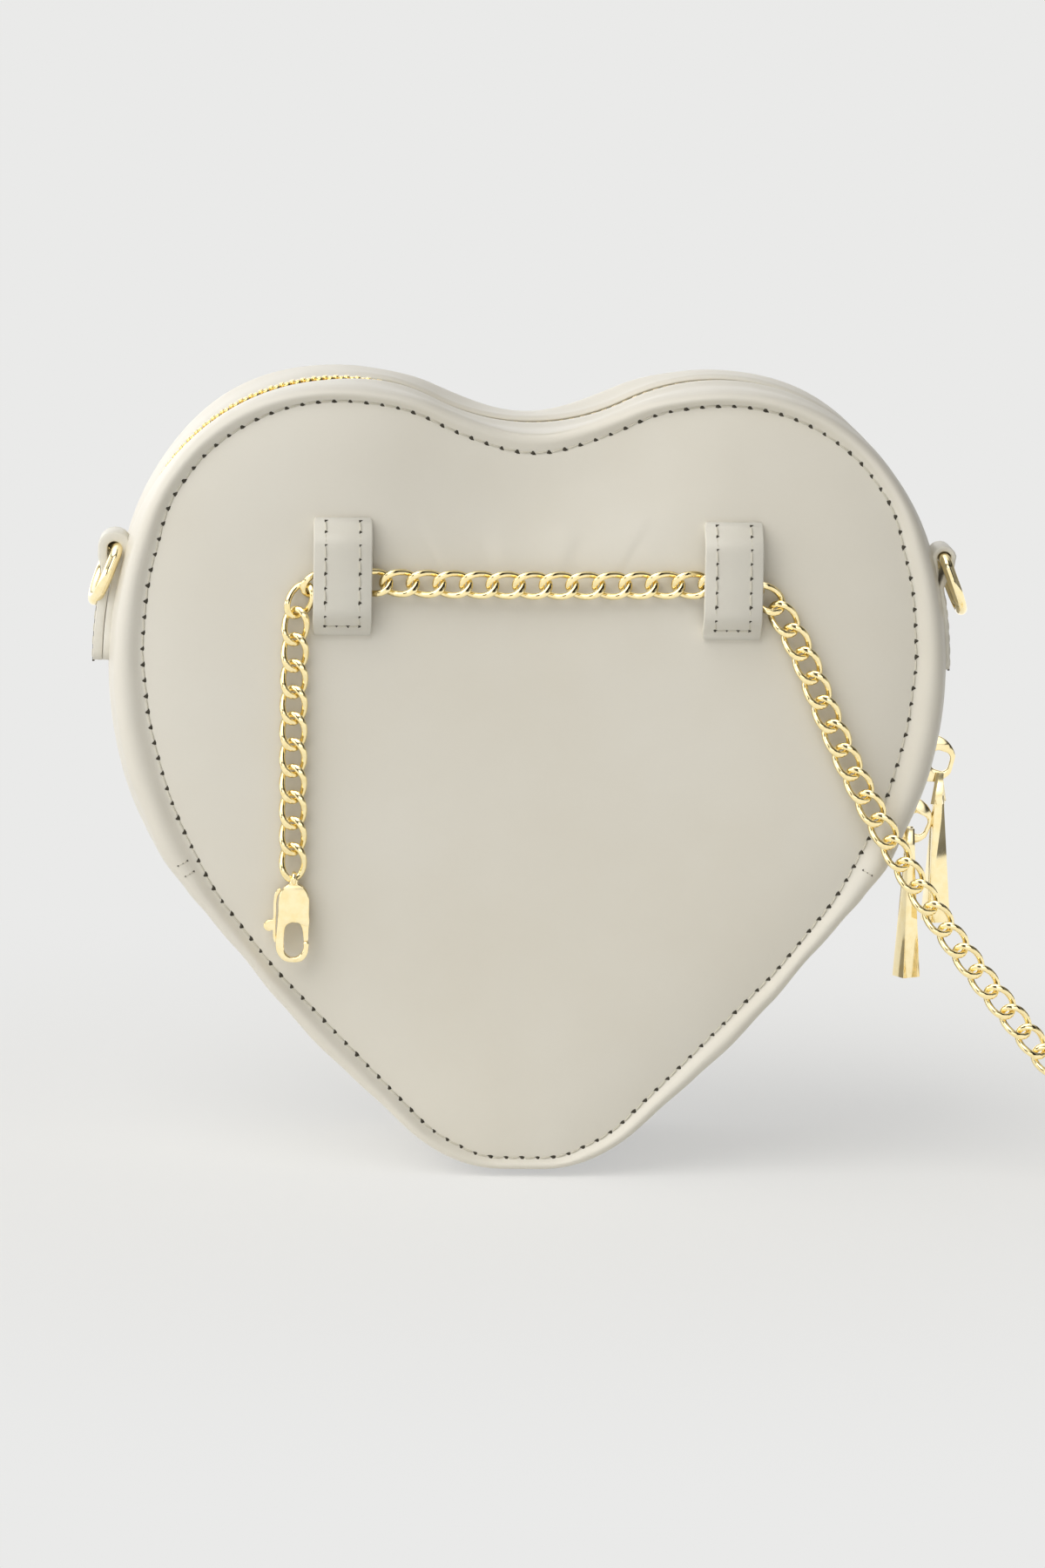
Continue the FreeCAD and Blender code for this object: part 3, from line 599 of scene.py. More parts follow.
# by height: how far the stitch line lies inside the bag's outline, and how far the panels' edge does
stitchHeights = (
    (0, 4.4), (3, 5.3), (25, 5.3), (44, 5.5), (60, 7.2), (78, 8.3), (98, 8.4), (115, 7.8), (131, 6.9),
    (152, 5.9), (170, 4.3), (180, 3.7), (192, 3.3),
)
edgeHeights = (
    (0, 1.3), (5, 1.4), (14, 1), (24, 0.3), (32, -0.2), (42, 0.5), (54, 2), (62, 2.2), (68, 1.6), (77, 0.5),
    (87, 0.8), (99, 0.2), (115, 0), (192, 0),
)
# what is added near the top: the heights where it sets in, then size, middle across and reach of each part
topChanges = {
    "stitch": ((165, 176), (0.8, 0, 14), (-0.9, 22, 20)),
    "edge": ((150, 172), (-1.2, 20, 19), (-0.7, 72, 24)),   # the lobes are fuller than their arcs
}


def smooth(value, low, high):
    share = min(max((value - low) / (high - low), 0), 1)
    return share * share * (3 - 2 * share)


def bump(value, middle, reach):
    return 1 - smooth(abs(value - middle), 0, reach)


def byHeight(stops, place, changes):
    for (low, start), (high, end) in zip(stops, stops[1:]):
        if place.y <= high:
            break
    heights, *parts = changes
    added = sum(size * bump(abs(place.x), middle, reach) for size, middle, reach in parts)
    return start + (end - start) * smooth(place.y, low, high) + smooth(place.y, *heights) * added


def stitchInset(place):
    return byHeight(stitchHeights, place, topChanges["stitch"])


def edgeTuck(place):
    return byHeight(edgeHeights, place, topChanges["edge"])


def padReach(place):
    under = smooth(place.y, *padSetup["notchHeights"]) * bump(place.x, 0, padSetup["notchAcross"])
    return padSetup["reach"] + padSetup["notch"] * under


def notchDent(place, y):
    # the panels are drawn in around the notch, and their rim is flatter there
    x, z = padSetup["dentAt"]
    near = bump(hypot(place.x - x, place.y - z), 0, padSetup["dentSize"])
    dent = padSetup["dent"] * smooth(y, *padSetup["dentLevels"])
    if place.y > padSetup["rimFrom"]:
        dent += padSetup["flatRim"] * smooth(y, *padSetup["rimLevels"])
    return y - near * dent


def panelMesh(side):
    # side -1 is the back panel and 1 the front; rings run from the inner seam over the rim to the middle
    count = panelSetup["steps"]
    crown = padSetup["crown"]
    rise = crown - panelSetup["valley"]
    outline = [(p, n, edgeTuck(p), stitchInset(p), padReach(p)) for p, n in outlinePoints(count)]
    rings = []
    for distance, y in panelSetup["inside"]:
        rings.append([(p - n * (tuck + distance), y) for p, n, tuck, inset, reach in outline])
    for share, y in rimProfile:
        rings.append([(p - n * (tuck + (inset - tuck) * share), y) for p, n, tuck, inset, reach in outline])
    for past in padSetup["steps"]:
        rings.append([
            (p - n * (inset + past), crown - rise * exp(-past / reach))
            for p, n, tuck, inset, reach in outline
        ])
    middle = Vector(panelSetup["middle"])
    edge = rings[-1]
    for share in panelSetup["spread"]:
        even = smooth(share, *panelSetup["settle"])
        rings.append([(p.lerp(middle, share), y + (crown - y) * even) for p, y in edge])
    points = [(p.x, side * notchDent(p, y), p.y) for ring in rings for p, y in ring]
    points += [(middle.x, side * y, middle.y) for y in (panelSetup["lining"], crown)]
    faces = ringFaces(len(rings), count)
    last = (len(rings) - 1) * count
    for at in range(count):
        after = (at + 1) % count
        faces.append((len(points) - 2, after, at))
        faces.append((len(points) - 1, last + at, last + after))
    return points, faces


def makePanel(name, side, body, node):
    panel = makePiece(name, *panelMesh(side), [ivoryLeather, liningCloth], body, (node,), "ivory_leather")
    inside = (panelSetup["lining"] + 0.05) * mm
    for face in panel.data.polygons:
        if abs(face.center.y) < inside and abs(face.normal.y) > 0.9:
            face.material_index = 1


makePanel("padded_back_panel", -1, "bag_back", "back_panel")
makePanel("padded_front_panel", 1, "front", "front_panel")
print("panels made")

gussetSetup = {
    "seamAngle": -30.7, "steps": 300, "lowerSteps": 200, "tapeEnds": 4, "lowerEnds": 5,
    "bulge": 1.1, "bulgeFrom": (70, 92), "bulgeTo": (150, 178),
    "lip": 1.4, "lipOpen": 0.3, "lipHeights": (135, 160), "lipAcross": (-54, -30),
}
zipStart = alongSide(gussetSetup["seamAngle"])
zipEnd = 2 * halfLength - zipStart


def sideBulge(place):
    # the zip gusset swells out at the two sides
    ends = gussetSetup["bulgeFrom"], gussetSetup["bulgeTo"]
    return gussetSetup["bulge"] * smooth(place.y, *ends[0]) * (1 - smooth(place.y, *ends[1]))


def lipLift(place):
    # the leather stands open beside the teeth on the left lobe and closes over them further on
    closed = gussetSetup["lip"] * smooth(place.x, *gussetSetup["lipAcross"])
    return smooth(place.y, *gussetSetup["lipHeights"]) * (closed - gussetSetup["lipOpen"])


def sweepBand(name, start, end, steps, section, material, body, nodes, slotName, flip=1):
    # a band along the outline; its section: y, height over the outline and shares of tuck, bulge and lip
    points = []
    for step in range(steps + 1):
        place, normal = heartAt(start + (end - start) * step / steps)
        shifts = (-edgeTuck(place), sideBulge(place), lipLift(place))
        for y, lift, *shares in section:
            spot = place + normal * (lift + sum(shift * share for shift, share in zip(shifts, shares)))
            points.append((spot.x, y * flip, spot.y))
    return makePiece(name, points, cappedFaces(steps + 1, len(section)), material, body, nodes, slotName)


# leather turned down beside the zip, with a soft bulge between its two seams
zipGussetSection = [
    (-29, -0.08, 1), (-28.4, 0.04, 1), (-27.2, 0.12, 1), (-25.8, 0.2, 0.95, 0.25), (-23.8, 0.25, 0.75, 0.65),
    (-21, 0.2, 0.45, 0.95), (-17.5, 0.15, 0.15, 1), (-14, 0.12, 0, 0.9), (-11.5, 0.05, 0, 0.65, 0.4),
    (-9, -0.1, 0, 0.3, 0.8), (-7.2, -0.4, 0, 0, 1), (-6, -0.8, 0, 0, 1), (-5.4, -1.15, 0, 0, 1),
    (-5.3, -1.4, 0, 0, 1), (-5.6, -1.62, 0, 0, 1), (-9, -1.6), (-16, -1.5, 0.1), (-23, -1.6, 0.55),
    (-27, -1.7, 0.97), (-28.6, -1.2, 1),
]
lowerGussetSection = [
    (-29, -0.08, 1), (-28.4, 0.03, 1), (-25.5, 0.05, 0.95), (-18, 0.1, 0.6), (-9, 0.1, 0.2), (0, 0.1),
    (9, 0.1, 0.2), (18, 0.1, 0.6), (25.5, 0.05, 0.95), (28.4, 0.03, 1), (29, -0.08, 1), (27.6, -1.5, 1),
    (14, -1.5, 0.5), (0, -1.5), (-14, -1.5, 0.5), (-27.6, -1.5, 1),
]
tapeSection = [(-3.3, -1.75), (-12.3, -1.75), (-12.3, -2.5), (-3.3, -2.5)]
for half, body, flip in (("back", "bag_back", 1), ("front", "front", -1)):
    sweepBand(
        "zip_gusset_leather_" + half, zipStart, zipEnd, gussetSetup["steps"], zipGussetSection, ivoryLeather,
        body, ("zip_gusset_" + half,), "ivory_leather", flip,
    )
    sweepBand(
        "zip_tape_cloth_" + half, zipStart - gussetSetup["tapeEnds"], zipEnd + gussetSetup["tapeEnds"],
        gussetSetup["steps"], tapeSection, zipCloth, body, ("zip_tape_" + half,), "zip_tape_cloth", flip,
    )
lowerEnd = zipStart + gussetSetup["lowerEnds"]
lowerGusset = sweepBand(
    "lower_gusset_leather", -lowerEnd, lowerEnd, gussetSetup["lowerSteps"], lowerGussetSection, ivoryLeather,
    None, (), None,
)
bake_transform(lowerGusset)
attach(lowerGusset, None, ("lower_gusset",), "ivory_leather")
print("gussets made")

toothSetup = {
    "pitch": 2.7, "start": -11.4, "root": -3.0, "tip": 0.55, "top": 0.95, "low": -0.85, "sink": 1.15,
    "endGap": 4, "first": {"back": 1.7, "front": 3.05},
}


def toothMesh(setup):
    # stamped tooth: a root that clasps the tape, a neck and a wider rounded head
    root, tip, low, top = (setup[key] for key in ("root", "tip", "low", "top"))
    outline = [
        (-0.8, root), (0.8, root), (0.72, -1.4), (0.5, -0.9), (0.62, -0.1), (0.5, tip), (-0.5, tip),
        (-0.62, -0.1), (-0.5, -0.9), (-0.72, -1.4),
    ]
    levels = ((low, 0.8), (low + 0.25, 1.0), (top - 0.4, 1.0), (top, 0.72))
    points = [(x * shrink, y, level) for level, shrink in levels for x, y in outline]
    return points, cappedFaces(len(levels), len(outline))


toothPattern = patternObject("zipTooth", *toothMesh(toothSetup))


def teethSpots(half):
    spots = []
    distance = alongSide(toothSetup["start"]) + toothSetup["first"][half]
    while distance < zipEnd - toothSetup["endGap"]:
        place, normal = heartAt(distance)
        ahead = heartAt(distance + 0.5)[0] - place
        along = Vector((ahead.x, 0, ahead.y)).normalized()
        out = Vector((normal.x, 0, normal.y))
        spot = Vector((place.x, 0, place.y)) - out * toothSetup["sink"]
        spots.append((spot * mm, -along if half == "back" else along, out))
        distance += toothSetup["pitch"]
    return spots


for half, body in (("back", "bag_back"), ("front", "front")):
    repeatPattern(
        "zip_teeth_row_" + half, teethSpots(half), toothPattern, teethGold, body, ("zip_teeth_" + half,),
        "zip_teeth_brass",
    )
print("zip made")

stitchSetup = {
    "pitch": 3.83, "length": 3.2, "thread": 0.42, "slant": 0.12, "unevenThread": 0.03, "unevenHole": 0.12,
}


def stitchMesh(setup):
    # a thread that rises out of one hole and dives into the next
    path = []
    for share in (step / 3 - 1 for step in range(7)):
        height = setup["thread"] * (0.35 - 0.9 * share**4)
        path.append((share * setup["length"] / 2, share * setup["slant"], height))
    return tubeAlong(path, setup["thread"] / 2, 6, False)


def holeMesh():
    # a slanted slit left by the needle
    outline = [(-0.72, 0.4), (-0.25, -0.15), (0.1, -0.7), (0.4, -0.5), (0.75, 0.3), (0.1, 0.52)]
    points = [(x * size, y * size, level) for size, level in ((1.0, 0.16), (0.9, -0.6)) for x, y in outline]
    return points, cappedFaces(2, len(outline))


stitchPattern = patternObject("sewnStitch", *stitchMesh(stitchSetup))
holePattern = patternObject("needleMark", *holeMesh())


def panelStitches(side):
    line = []
    for place, normal in outlinePoints(600):
        spot = place - normal * stitchInset(place)
        line.append(Vector((spot.x, side * notchDent(spot, panelSetup["valley"]), spot.y)) * mm)
    return evenly(line + line[:1], stitchSetup["pitch"] * mm)[0][:-1]


def sewnRow(name, spots, face, body, closed=False, size=1.0, threadSize=0.85):
    count = len(spots)
    threads = []
    holes = []
    for at in range(count if closed else count - 1):
        here = spots[at]
        there = spots[(at + 1) % count]
        along = (there - here).normalized()
        out = face(here)
        threads.append(((here + there) / 2, along, out))
        holes.append((here, along, out))
    if not closed:
        holes.append((spots[-1], (spots[-1] - spots[-2]).normalized(), face(spots[-1])))
    # the holes are dark pieces: painted shade where each needle hole is
    for part, places, pattern, material, uneven, scale in (
        ("_thread", threads, stitchPattern, sewingThread, stitchSetup["unevenThread"], threadSize),
        ("_holes", holes, holePattern, paintedHoleShade, stitchSetup["unevenHole"], size),
    ):
        repeatPattern(name + part, places, pattern, material, body, (), "ivory_leather", uneven, scale)


def towardsBack(place):
    return Vector((0, -1, 0))


def towardsFront(place):
    return Vector((0, 1, 0))


sewnRow("back_topstitch", panelStitches(-1), towardsBack, "bag_back", True, 0.9, 0.9)
sewnRow("front_topstitch", panelStitches(1), towardsFront, "front", True, 0.9, 0.9)
# places along the seam, then shares of the inset and depths of the stitches, and the sizes of hole and thread
tackSetup = {
    "right": (0.8,), "left": (-1.6, 1.6), "shares": (0.34, 0.52, 0.68), "depths": (32.6, 32.72, 32.25),
    "hole": 0.32, "thread": 0.42,
}


def tackSpots(setup, distance):
    # a few stitches across the rim, where the zip gusset is sewn to the lower one
    place, normal = heartAt(distance)
    tuck, inset = edgeTuck(place), stitchInset(place)
    spots = []
    for share, y in zip(setup["shares"], setup["depths"]):
        spot = place - normal * (tuck + (inset - tuck) * share)
        spots.append(Vector((spot.x, -y, spot.y)) * mm)
    return spots


for side, seam in (("right", zipStart), ("left", zipEnd)):
    for index, shift in enumerate(tackSetup[side]):
        sewnRow(
            f"{side}_gusset_tack_{index}", tackSpots(tackSetup, seam + shift), towardsBack, "bag_back",
            size=tackSetup["hole"], threadSize=tackSetup["thread"],
        )
print("topstitching made")


def ribbonMesh(path, width, thickness, across, edge=0.35):
    # a strip of leather along a line, with rounded edges and ends; across is the direction of its width
    points = [Vector(p) for p in path]
    across = Vector(across)
    half = width / 2
    thick = thickness / 2
    nick = edge * 0.3
    corner = [(half, thick - edge), (half - nick, thick - nick), (half - edge, thick)]
    section = []
    for x, y in ((-1, -1), (1, -1), (1, 1), (-1, 1)):
        section += [(x * a, y * b) for a, b in (corner if x == y else reversed(corner))]
    verts = []
    for at, (place, along) in enumerate(zip(points, headings(points))):
        out = across.cross(along).normalized()
        narrow = 1 - 2 * edge / width if at in (0, len(points) - 1) else 1
        verts += [place + across * a * narrow + out * b for a, b in section]
    return verts, cappedFaces(len(points), len(section))


def makeStrap(name, path, width, leather, across, node):
    # a strip with painted cut edges
    strap = makePiece(
        name, *ribbonMesh(path, width, leather, across), [stripLeather, edgePaint], "bag_back", (node,),
        "ivory_leather",
    )
    for face in strap.data.polygons:
        if abs(face.normal.dot(Vector(across))) > 0.5:
            face.material_index = 1


loopSetup = {
    "right": 47.95, "left": -45.35, "z": 146.6, "length": 28.0, "width": 14.0, "leather": 2.0, "foot": 33.4,
    "arch": 4.5, "steps": 28, "seam": 4.1, "pitch": 3.4, "footStitch": 2,
}


def loopPath(setup, x):
    points = []
    for step in range(setup["steps"] + 1):
        share = step / setup["steps"] * 2 - 1
        rise = smooth(1 - abs(share), 0.02, 0.45)
        y = -setup["foot"] - setup["leather"] / 2 - setup["arch"] * rise
        points.append(Vector((x, y, setup["z"] + setup["length"] / 2 * share)))
    return points


def loopOut(path, at):
    # outward from the strap, which slopes at its head and foot
    return Vector((1, 0, 0)).cross((path[at + 1] - path[at - 1]).normalized()).normalized()


def loopFace(place):
    share = (place.z / mm - loopSetup["z"]) / loopSetup["length"] + 0.5
    at = min(max(round(share * loopSetup["steps"]), 1), loopSetup["steps"] - 1)
    return loopOut(loopPath(loopSetup, 0), at)


def loopStitches(setup, x):
    # two rows up the strap and one across its foot, on the outer face, each with its pitch
    path = loopPath(setup, x)
    outer = [path[at] + loopOut(path, at) * setup["leather"] / 2 for at in range(1, setup["steps"])]
    seam = Vector((setup["seam"], 0, 0))
    sewn = outer[setup["footStitch"]:]
    rows = [([spot + seam * side for spot in sewn], setup["pitch"]) for side in (-1, 1)]
    rows.append(([sewn[0] + seam * (step / 5 - 1) for step in range(11)], setup["seam"] * 2 / 3))
    return rows


for side in ("right", "left"):
    x = loopSetup[side]
    makeStrap(
        side + "_belt_loop_strap", loopPath(loopSetup, x), loopSetup["width"], loopSetup["leather"],
        (1, 0, 0), side + "_belt_loop",
    )
    for index, (row, pitch) in enumerate(loopStitches(loopSetup, x)):
        spots = evenly([p * mm for p in row], pitch * mm)[0]
        sewnRow(f"{side}_loop_seam_{index}", spots, loopFace, "bag_back", size=0.62)
print("belt loops made")

tabSetup = {
    "low": 0.2, "fold": 15.3, "taper": 4.2,   # degrees on the side curve
    "y": -16.5, "width": 12.0, "bar": 1.7, "axis": 3.7, "apart": 0.1, "seam": 4.2, "pitch": 3.0, "sewn": 9,
    "leather": {"right": 1.3, "left": 2.3}, "lift": {"right": -0.6, "left": 0.35},
}
sideCentre = Vector((sideArc[1].x, 0, sideArc[1].y))


def toSide(points, side):
    flip = 1 if side == "right" else -1
    return [Vector((flip * p[0], p[1], p[2])) for p in points]


def tabPath(setup, side, steps=12, foldSteps=10):
    # up the inner layer, round the bar of the ring and down the outer layer
    leather = setup["leather"][side]
    foldRadius = setup["bar"] + leather / 2
    axis = sideArc[2] + setup["axis"]
    inner = sideArc[2] + setup["lift"][side] + leather / 2
    depth = Vector((0, setup["y"], 0))
    angles = [setup["low"] + (setup["fold"] - setup["low"]) * step / steps for step in range(steps + 1)]

    def layer(top, low, turns):
        spots = []
        for angle in turns:
            radius = top + (low - top) * smooth(setup["fold"] - angle, 0, setup["taper"])
            spots.append(sideCentre + depth + spoke(radians(angle), radius))
        return spots

    def spoke(turn, radius):
        return Vector((cos(turn), 0, sin(turn))) * radius

    fold = radians(setup["fold"])
    bar = sideCentre + depth + spoke(fold, axis)
    bend = [bar + spoke(fold + pi - pi * step / foldSteps, foldRadius) for step in range(1, foldSteps + 1)]
    outer = layer(axis + foldRadius, inner + leather + setup["apart"], angles[-2::-1])
    return layer(axis - foldRadius, inner, angles) + bend + outer


def sewTab(side, setup):
    middle = toSide([sideCentre * mm], side)[0]

    def face(place):
        return Vector((place.x - middle.x, 0, place.z - middle.z)).normalized()

    for index, offset in enumerate((-setup["seam"], setup["seam"])):
        line = []
        for place in tabPath(setup, side)[-setup["sewn"]:]:
            spoke = place - sideCentre - Vector((0, setup["y"], 0))
            line.append(place + spoke.normalized() * setup["leather"][side] / 2 + Vector((0, offset, 0)))
        spots = evenly([p * mm for p in toSide(line, side)], setup["pitch"] * mm)[0]
        sewnRow(f"{side}_tab_seam_{index}", spots, face, "bag_back", size=0.8)


for side in ("right", "left"):
    makeStrap(
        side + "_ring_tab_strap", toSide(tabPath(tabSetup, side), side), tabSetup["width"],
        tabSetup["leather"][side], (0, 1, 0), side + "_ring_tab",
    )
    sewTab(side, tabSetup)

ringSetup = {
    "wire": 2.8, "inside": 13.0, "drop": 13.9, "corner": 2.2, "leg": 4.2, "centre": (100.025, -16.5, 151.107),
    "hang": 21.06, "yaw": {"right": 0, "left": 6},
}


def ringPath(setup, cornerSteps=6, bowSteps=32):
    # bar, two tight corners, two legs and a round bow
    half = (setup["inside"] + setup["wire"]) / 2
    inner = half - setup["corner"]
    bar = [(inner * (step / 4 - 1), 0) for step in range(9)]
    turns = [pi / 2 * step / cornerSteps for step in range(1, cornerSteps + 1)]
    corner = [(inner + setup["corner"] * sin(turn), -setup["corner"] * (1 - cos(turn))) for turn in turns]
    fall = setup["drop"] - setup["leg"]
    radius = (half**2 + fall**2) / (2 * fall)
    middle = -setup["drop"] + radius
    start = atan2(-setup["leg"] - middle, half)
    turns = [start - (pi + 2 * start) * step / bowSteps for step in range(bowSteps + 1)]
    bow = [(radius * cos(turn), middle + radius * sin(turn)) for turn in turns]
    hang = radians(setup["hang"])
    x, y, z = setup["centre"]
    line = bar + corner + bow + [(-across, drop) for across, drop in reversed(corner)]
    return [Vector((x - drop * sin(hang), y + across, z + drop * cos(hang))) for across, drop in line]


for side in ("right", "left"):
    middle = toSide([ringSetup["centre"]], side)[0]
    yaw = Matrix.Rotation(radians(ringSetup["yaw"][side]), 3, "Z")
    path = [middle + yaw @ (place - middle) for place in toSide(ringPath(ringSetup), side)]
    makePiece(
        side + "_d_ring", *tubeAlong(path, ringSetup["wire"] / 2, 16), hardwareGold, side + "_ring",
        (side + "_ring",), "polished_hardware",
    )
print("tabs and rings made")


def roundedCopy(node, name, body, edge, material=hardwareGold, slotName="polished_hardware", reshape=None):
    # the solid's own shape, merged, with its edges rounded as by tumbling
    piece = bpy.data.objects.new(name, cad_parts[node].data.copy())
    scene.collection.objects.link(piece)
    shape = bmesh.new()
    shape.from_mesh(piece.data)
    bmesh.ops.remove_doubles(shape, verts=shape.verts, dist=0.005 * mm)
    bmesh.ops.dissolve_limit(
        shape, angle_limit=radians(1.0), verts=shape.verts, edges=shape.edges, use_dissolve_boundaries=False
    )
    for corner in shape.verts if reshape else ():
        corner.co = reshape(corner.co / mm) * mm
    shape.to_mesh(piece.data)
    shape.free()
    piece.data.materials.clear()
    piece.data.materials.append(material)
    piece.data.polygons.foreach_set("material_index", [0] * len(piece.data.polygons))
    bevel = piece.modifiers.new("rounded", "BEVEL")
    bevel.width = edge * mm
    bevel.segments = 2
    bevel.limit_method = "ANGLE"
    bevel.angle_limit = radians(35)
    bevel.harden_normals = False
    applyModifiers(piece)
    shadeSmooth(piece)
    piece.data.set_sharp_from_angle(angle=radians(40))
    attach(piece, body, (node,), slotName)
    return piece


sliderSetup = {
    "plate": 100.7,   # radius of the slider's outer plate about the centre of the side curve
    "bailOut": 2.2, "bailUp": 3.8, "edge": 0.18,
}
pullSetup = {
    "upper": {"pin": (100.85, 0, 93.77), "shift": (1.9, 0, 0.9), "turn": -15, "widen": 1.6},
    "lower": {"pin": (94.01, 0, 78.78), "shift": (1.9, 0, 1.9), "turn": 0, "widen": 1.35},
    "neck": 6.6, "edge": 0.16,
}


def raisedBail(place):
    # the bail over the slider stands further out and further up than its seat
    spoke = Vector((place.x - sideCentre.x, 0, place.z - sideCentre.z))
    share = smooth(spoke.length, sliderSetup["plate"], sliderSetup["plate"] + 1.0)
    out = spoke.normalized()
    return place + (out * sliderSetup["bailOut"] + Vector((-out.z, 0, out.x)) * sliderSetup["bailUp"]) * share


def widerPull(setup):
    # below its neck the bar is turned and widened, and the whole pull hangs from the raised bail
    pin = Vector(setup["pin"])
    turn = Matrix.Rotation(radians(setup["turn"]), 3, "Z")

    def reshape(place):
        off = place - pin
        if off.z < -pullSetup["neck"]:
            across = turn @ Vector((off.x, off.y, 0)) * setup["widen"]
            off = Vector((across.x, across.y, off.z))
        return pin + off + Vector(setup["shift"])

    return reshape


for name in ("upper", "lower"):
    slider, pull = name + "_slider", name + "_pull"
    roundedCopy(slider, name + "_zip_slider", slider, sliderSetup["edge"], reshape=raisedBail)
    roundedCopy(pull, name + "_bar_pull", pull, pullSetup["edge"], reshape=widerPull(pullSetup[name]))
roundedCopy("zip_stops", "zip_end_stops", "bag_back", 0.15, teethGold, "zip_teeth_brass")

# the near clasp is three stamped plates, drawn in millimetres right and up from the foot of its hook
claspFoot = (-56.5, 53.3)
claspSetup = {
    # from the hook's mouth up round the plate, over its eye, down the left edge and back through the opening
    "near_lobster_clasp": {
        "body": "near_clasp", "nodes": ("near_clasp_body",), "y": -36.4, "half": 1.1, "edge": 0.28,
        "outline": (
            (4.1, 8.9), (4.1, 12), (4.1, 15.2), (3.6, 17.2), (2.6, 18.5), (1.5, 19.2), (1.2, 20.4),
            (0.4, 20.8), (-0.4, 20.4), (-0.7, 19.2), (-1.9, 18.3), (-2.8, 17), (-3.25, 15), (-3.3, 12),
            (-3.5, 9), (-3.75, 6), (-3.8, 3.8), (-3.3, 2), (-1.9, 0.5), (0.2, 0), (2.4, 0.3), (3.7, 1.7),
            (4.1, 3.6), (4, 4.9), (2.9, 4.9), (2.9, 3.8), (2.5, 2.4), (1.4, 1.4), (0.1, 1.15), (-1.1, 1.75),
            (-1.75, 3), (-1.85, 5.3), (-1.7, 7.9), (-1.2, 9.1), (-0.2, 9.65), (1.2, 9.65), (2.2, 9.3),
        ),
    },
    # a thin second layer along the plate's left edge, with a ball to press
    "near_clasp_trigger": {
        "body": "near_lever", "nodes": ("near_clasp_lever",), "y": -35.9, "half": 0.7, "edge": 0.14,
        "outline": (
            (-2.9, 17.9), (-3.5, 17.6), (-4.1, 16.7), (-4.4, 15), (-4.45, 12.5), (-4.5, 10.4), (-5.3, 10.2),
            (-6.2, 9.8), (-6.8, 8.9), (-6.4, 7.9), (-5.4, 7.4), (-4.6, 7.7), (-4.5, 6.2), (-4.2, 4.9),
            (-3.6, 5), (-3.85, 7), (-3.85, 10), (-3.75, 12.5), (-3.7, 14.8), (-3.4, 16.2), (-2.9, 17.1),
        ),
    },
    # closes the mouth
    "near_clasp_gate": {
        "body": "near_lever", "nodes": (), "y": -36.4, "half": 0.9, "edge": 0.2,
        "outline": (
            (4.05, 9.6), (4.05, 8), (4, 6.4), (3.95, 5.25), (3.4, 5.15), (2.9, 5.3), (2.75, 6.6), (2.5, 8.2),
            (2, 9.6), (3, 10.4),
        ),
    },
}


def roundedLoop(points, steps=4):
    # a closed line through the points
    count = len(points)
    line = []
    for at in range(count):
        a, b, c, d = (Vector(points[(at + shift) % count]) for shift in (-1, 0, 1, 2))
        for t in (step / steps for step in range(steps)):
            bent = (a * 2 - b * 5 + c * 4 - d) * t**2 + (b * 3 - a - c * 3 + d) * t**3
            line.append((b * 2 + (c - a) * t + bent) / 2)
    return line


def cutPlate(name, setup):
    # a stamped plate: the filled outline with thickness and rounded edges, stood up facing the viewer
    outline = [(*place, 0) for place in roundedLoop(setup["outline"])]
    curve, line = newLine(name, "POLY", "2D", outline)
    line.use_cyclic_u = True
    curve.fill_mode = "BOTH"
    curve.extrude = setup["half"] - setup["edge"]
    curve.bevel_depth = setup["edge"]
    curve.bevel_resolution = 2
    curve.offset = -setup["edge"]
    mesh = curveMesh(name + "Outline", curve)
    x, z = claspFoot
    points = [(x + v.co.x, setup["y"] + v.co.z, z + v.co.y) for v in mesh.vertices]
    piece = makePiece(name, points, [tuple(f.vertices) for f in mesh.polygons], hardwareGold)
    piece.data.set_sharp_from_angle(angle=radians(30))
    attach(piece, setup["body"], setup["nodes"], "polished_hardware")
    return piece


claspPieces = [cutPlate(name, setup) for name, setup in claspSetup.items()]
claspPieces.append(roundedCopy("far_clasp_body", "far_lobster_clasp", "far_clasp", 0.3))
claspPieces.append(roundedCopy("far_clasp_lever", "far_clasp_trigger", "far_lever", 0.12))

jumpSetup = {"eye": (-56.1, -36.4, 72.3), "radius": 1.3, "wire": 1.1}


def jumpRingPath(setup, steps=32):
    x, y, z = setup["eye"]
    turns = [2 * pi * step / steps for step in range(steps)]
    return [(x, y + setup["radius"] * cos(t), z + setup["radius"] * (1 + sin(t))) for t in turns]


jumpRing = makePiece(
    "clasp_jump_ring", *tubeAlong(jumpRingPath(jumpSetup), jumpSetup["wire"] / 2, 10), hardwareGold,
    "bag_back", ("near_jump_ring",), "polished_hardware",
)
claspPieces.append(jumpRing)
tuple(chainLine[0])
print("hardware made")

stageSetup = {
    "background": "#EAEAE9", "floor": "#F6F6F4", "reach": 20000, "level": -0.2,   # millimetres
    "near": 0.08, "far": 0.34, "shadow": 0.4, "mirrored": 1.3,
}


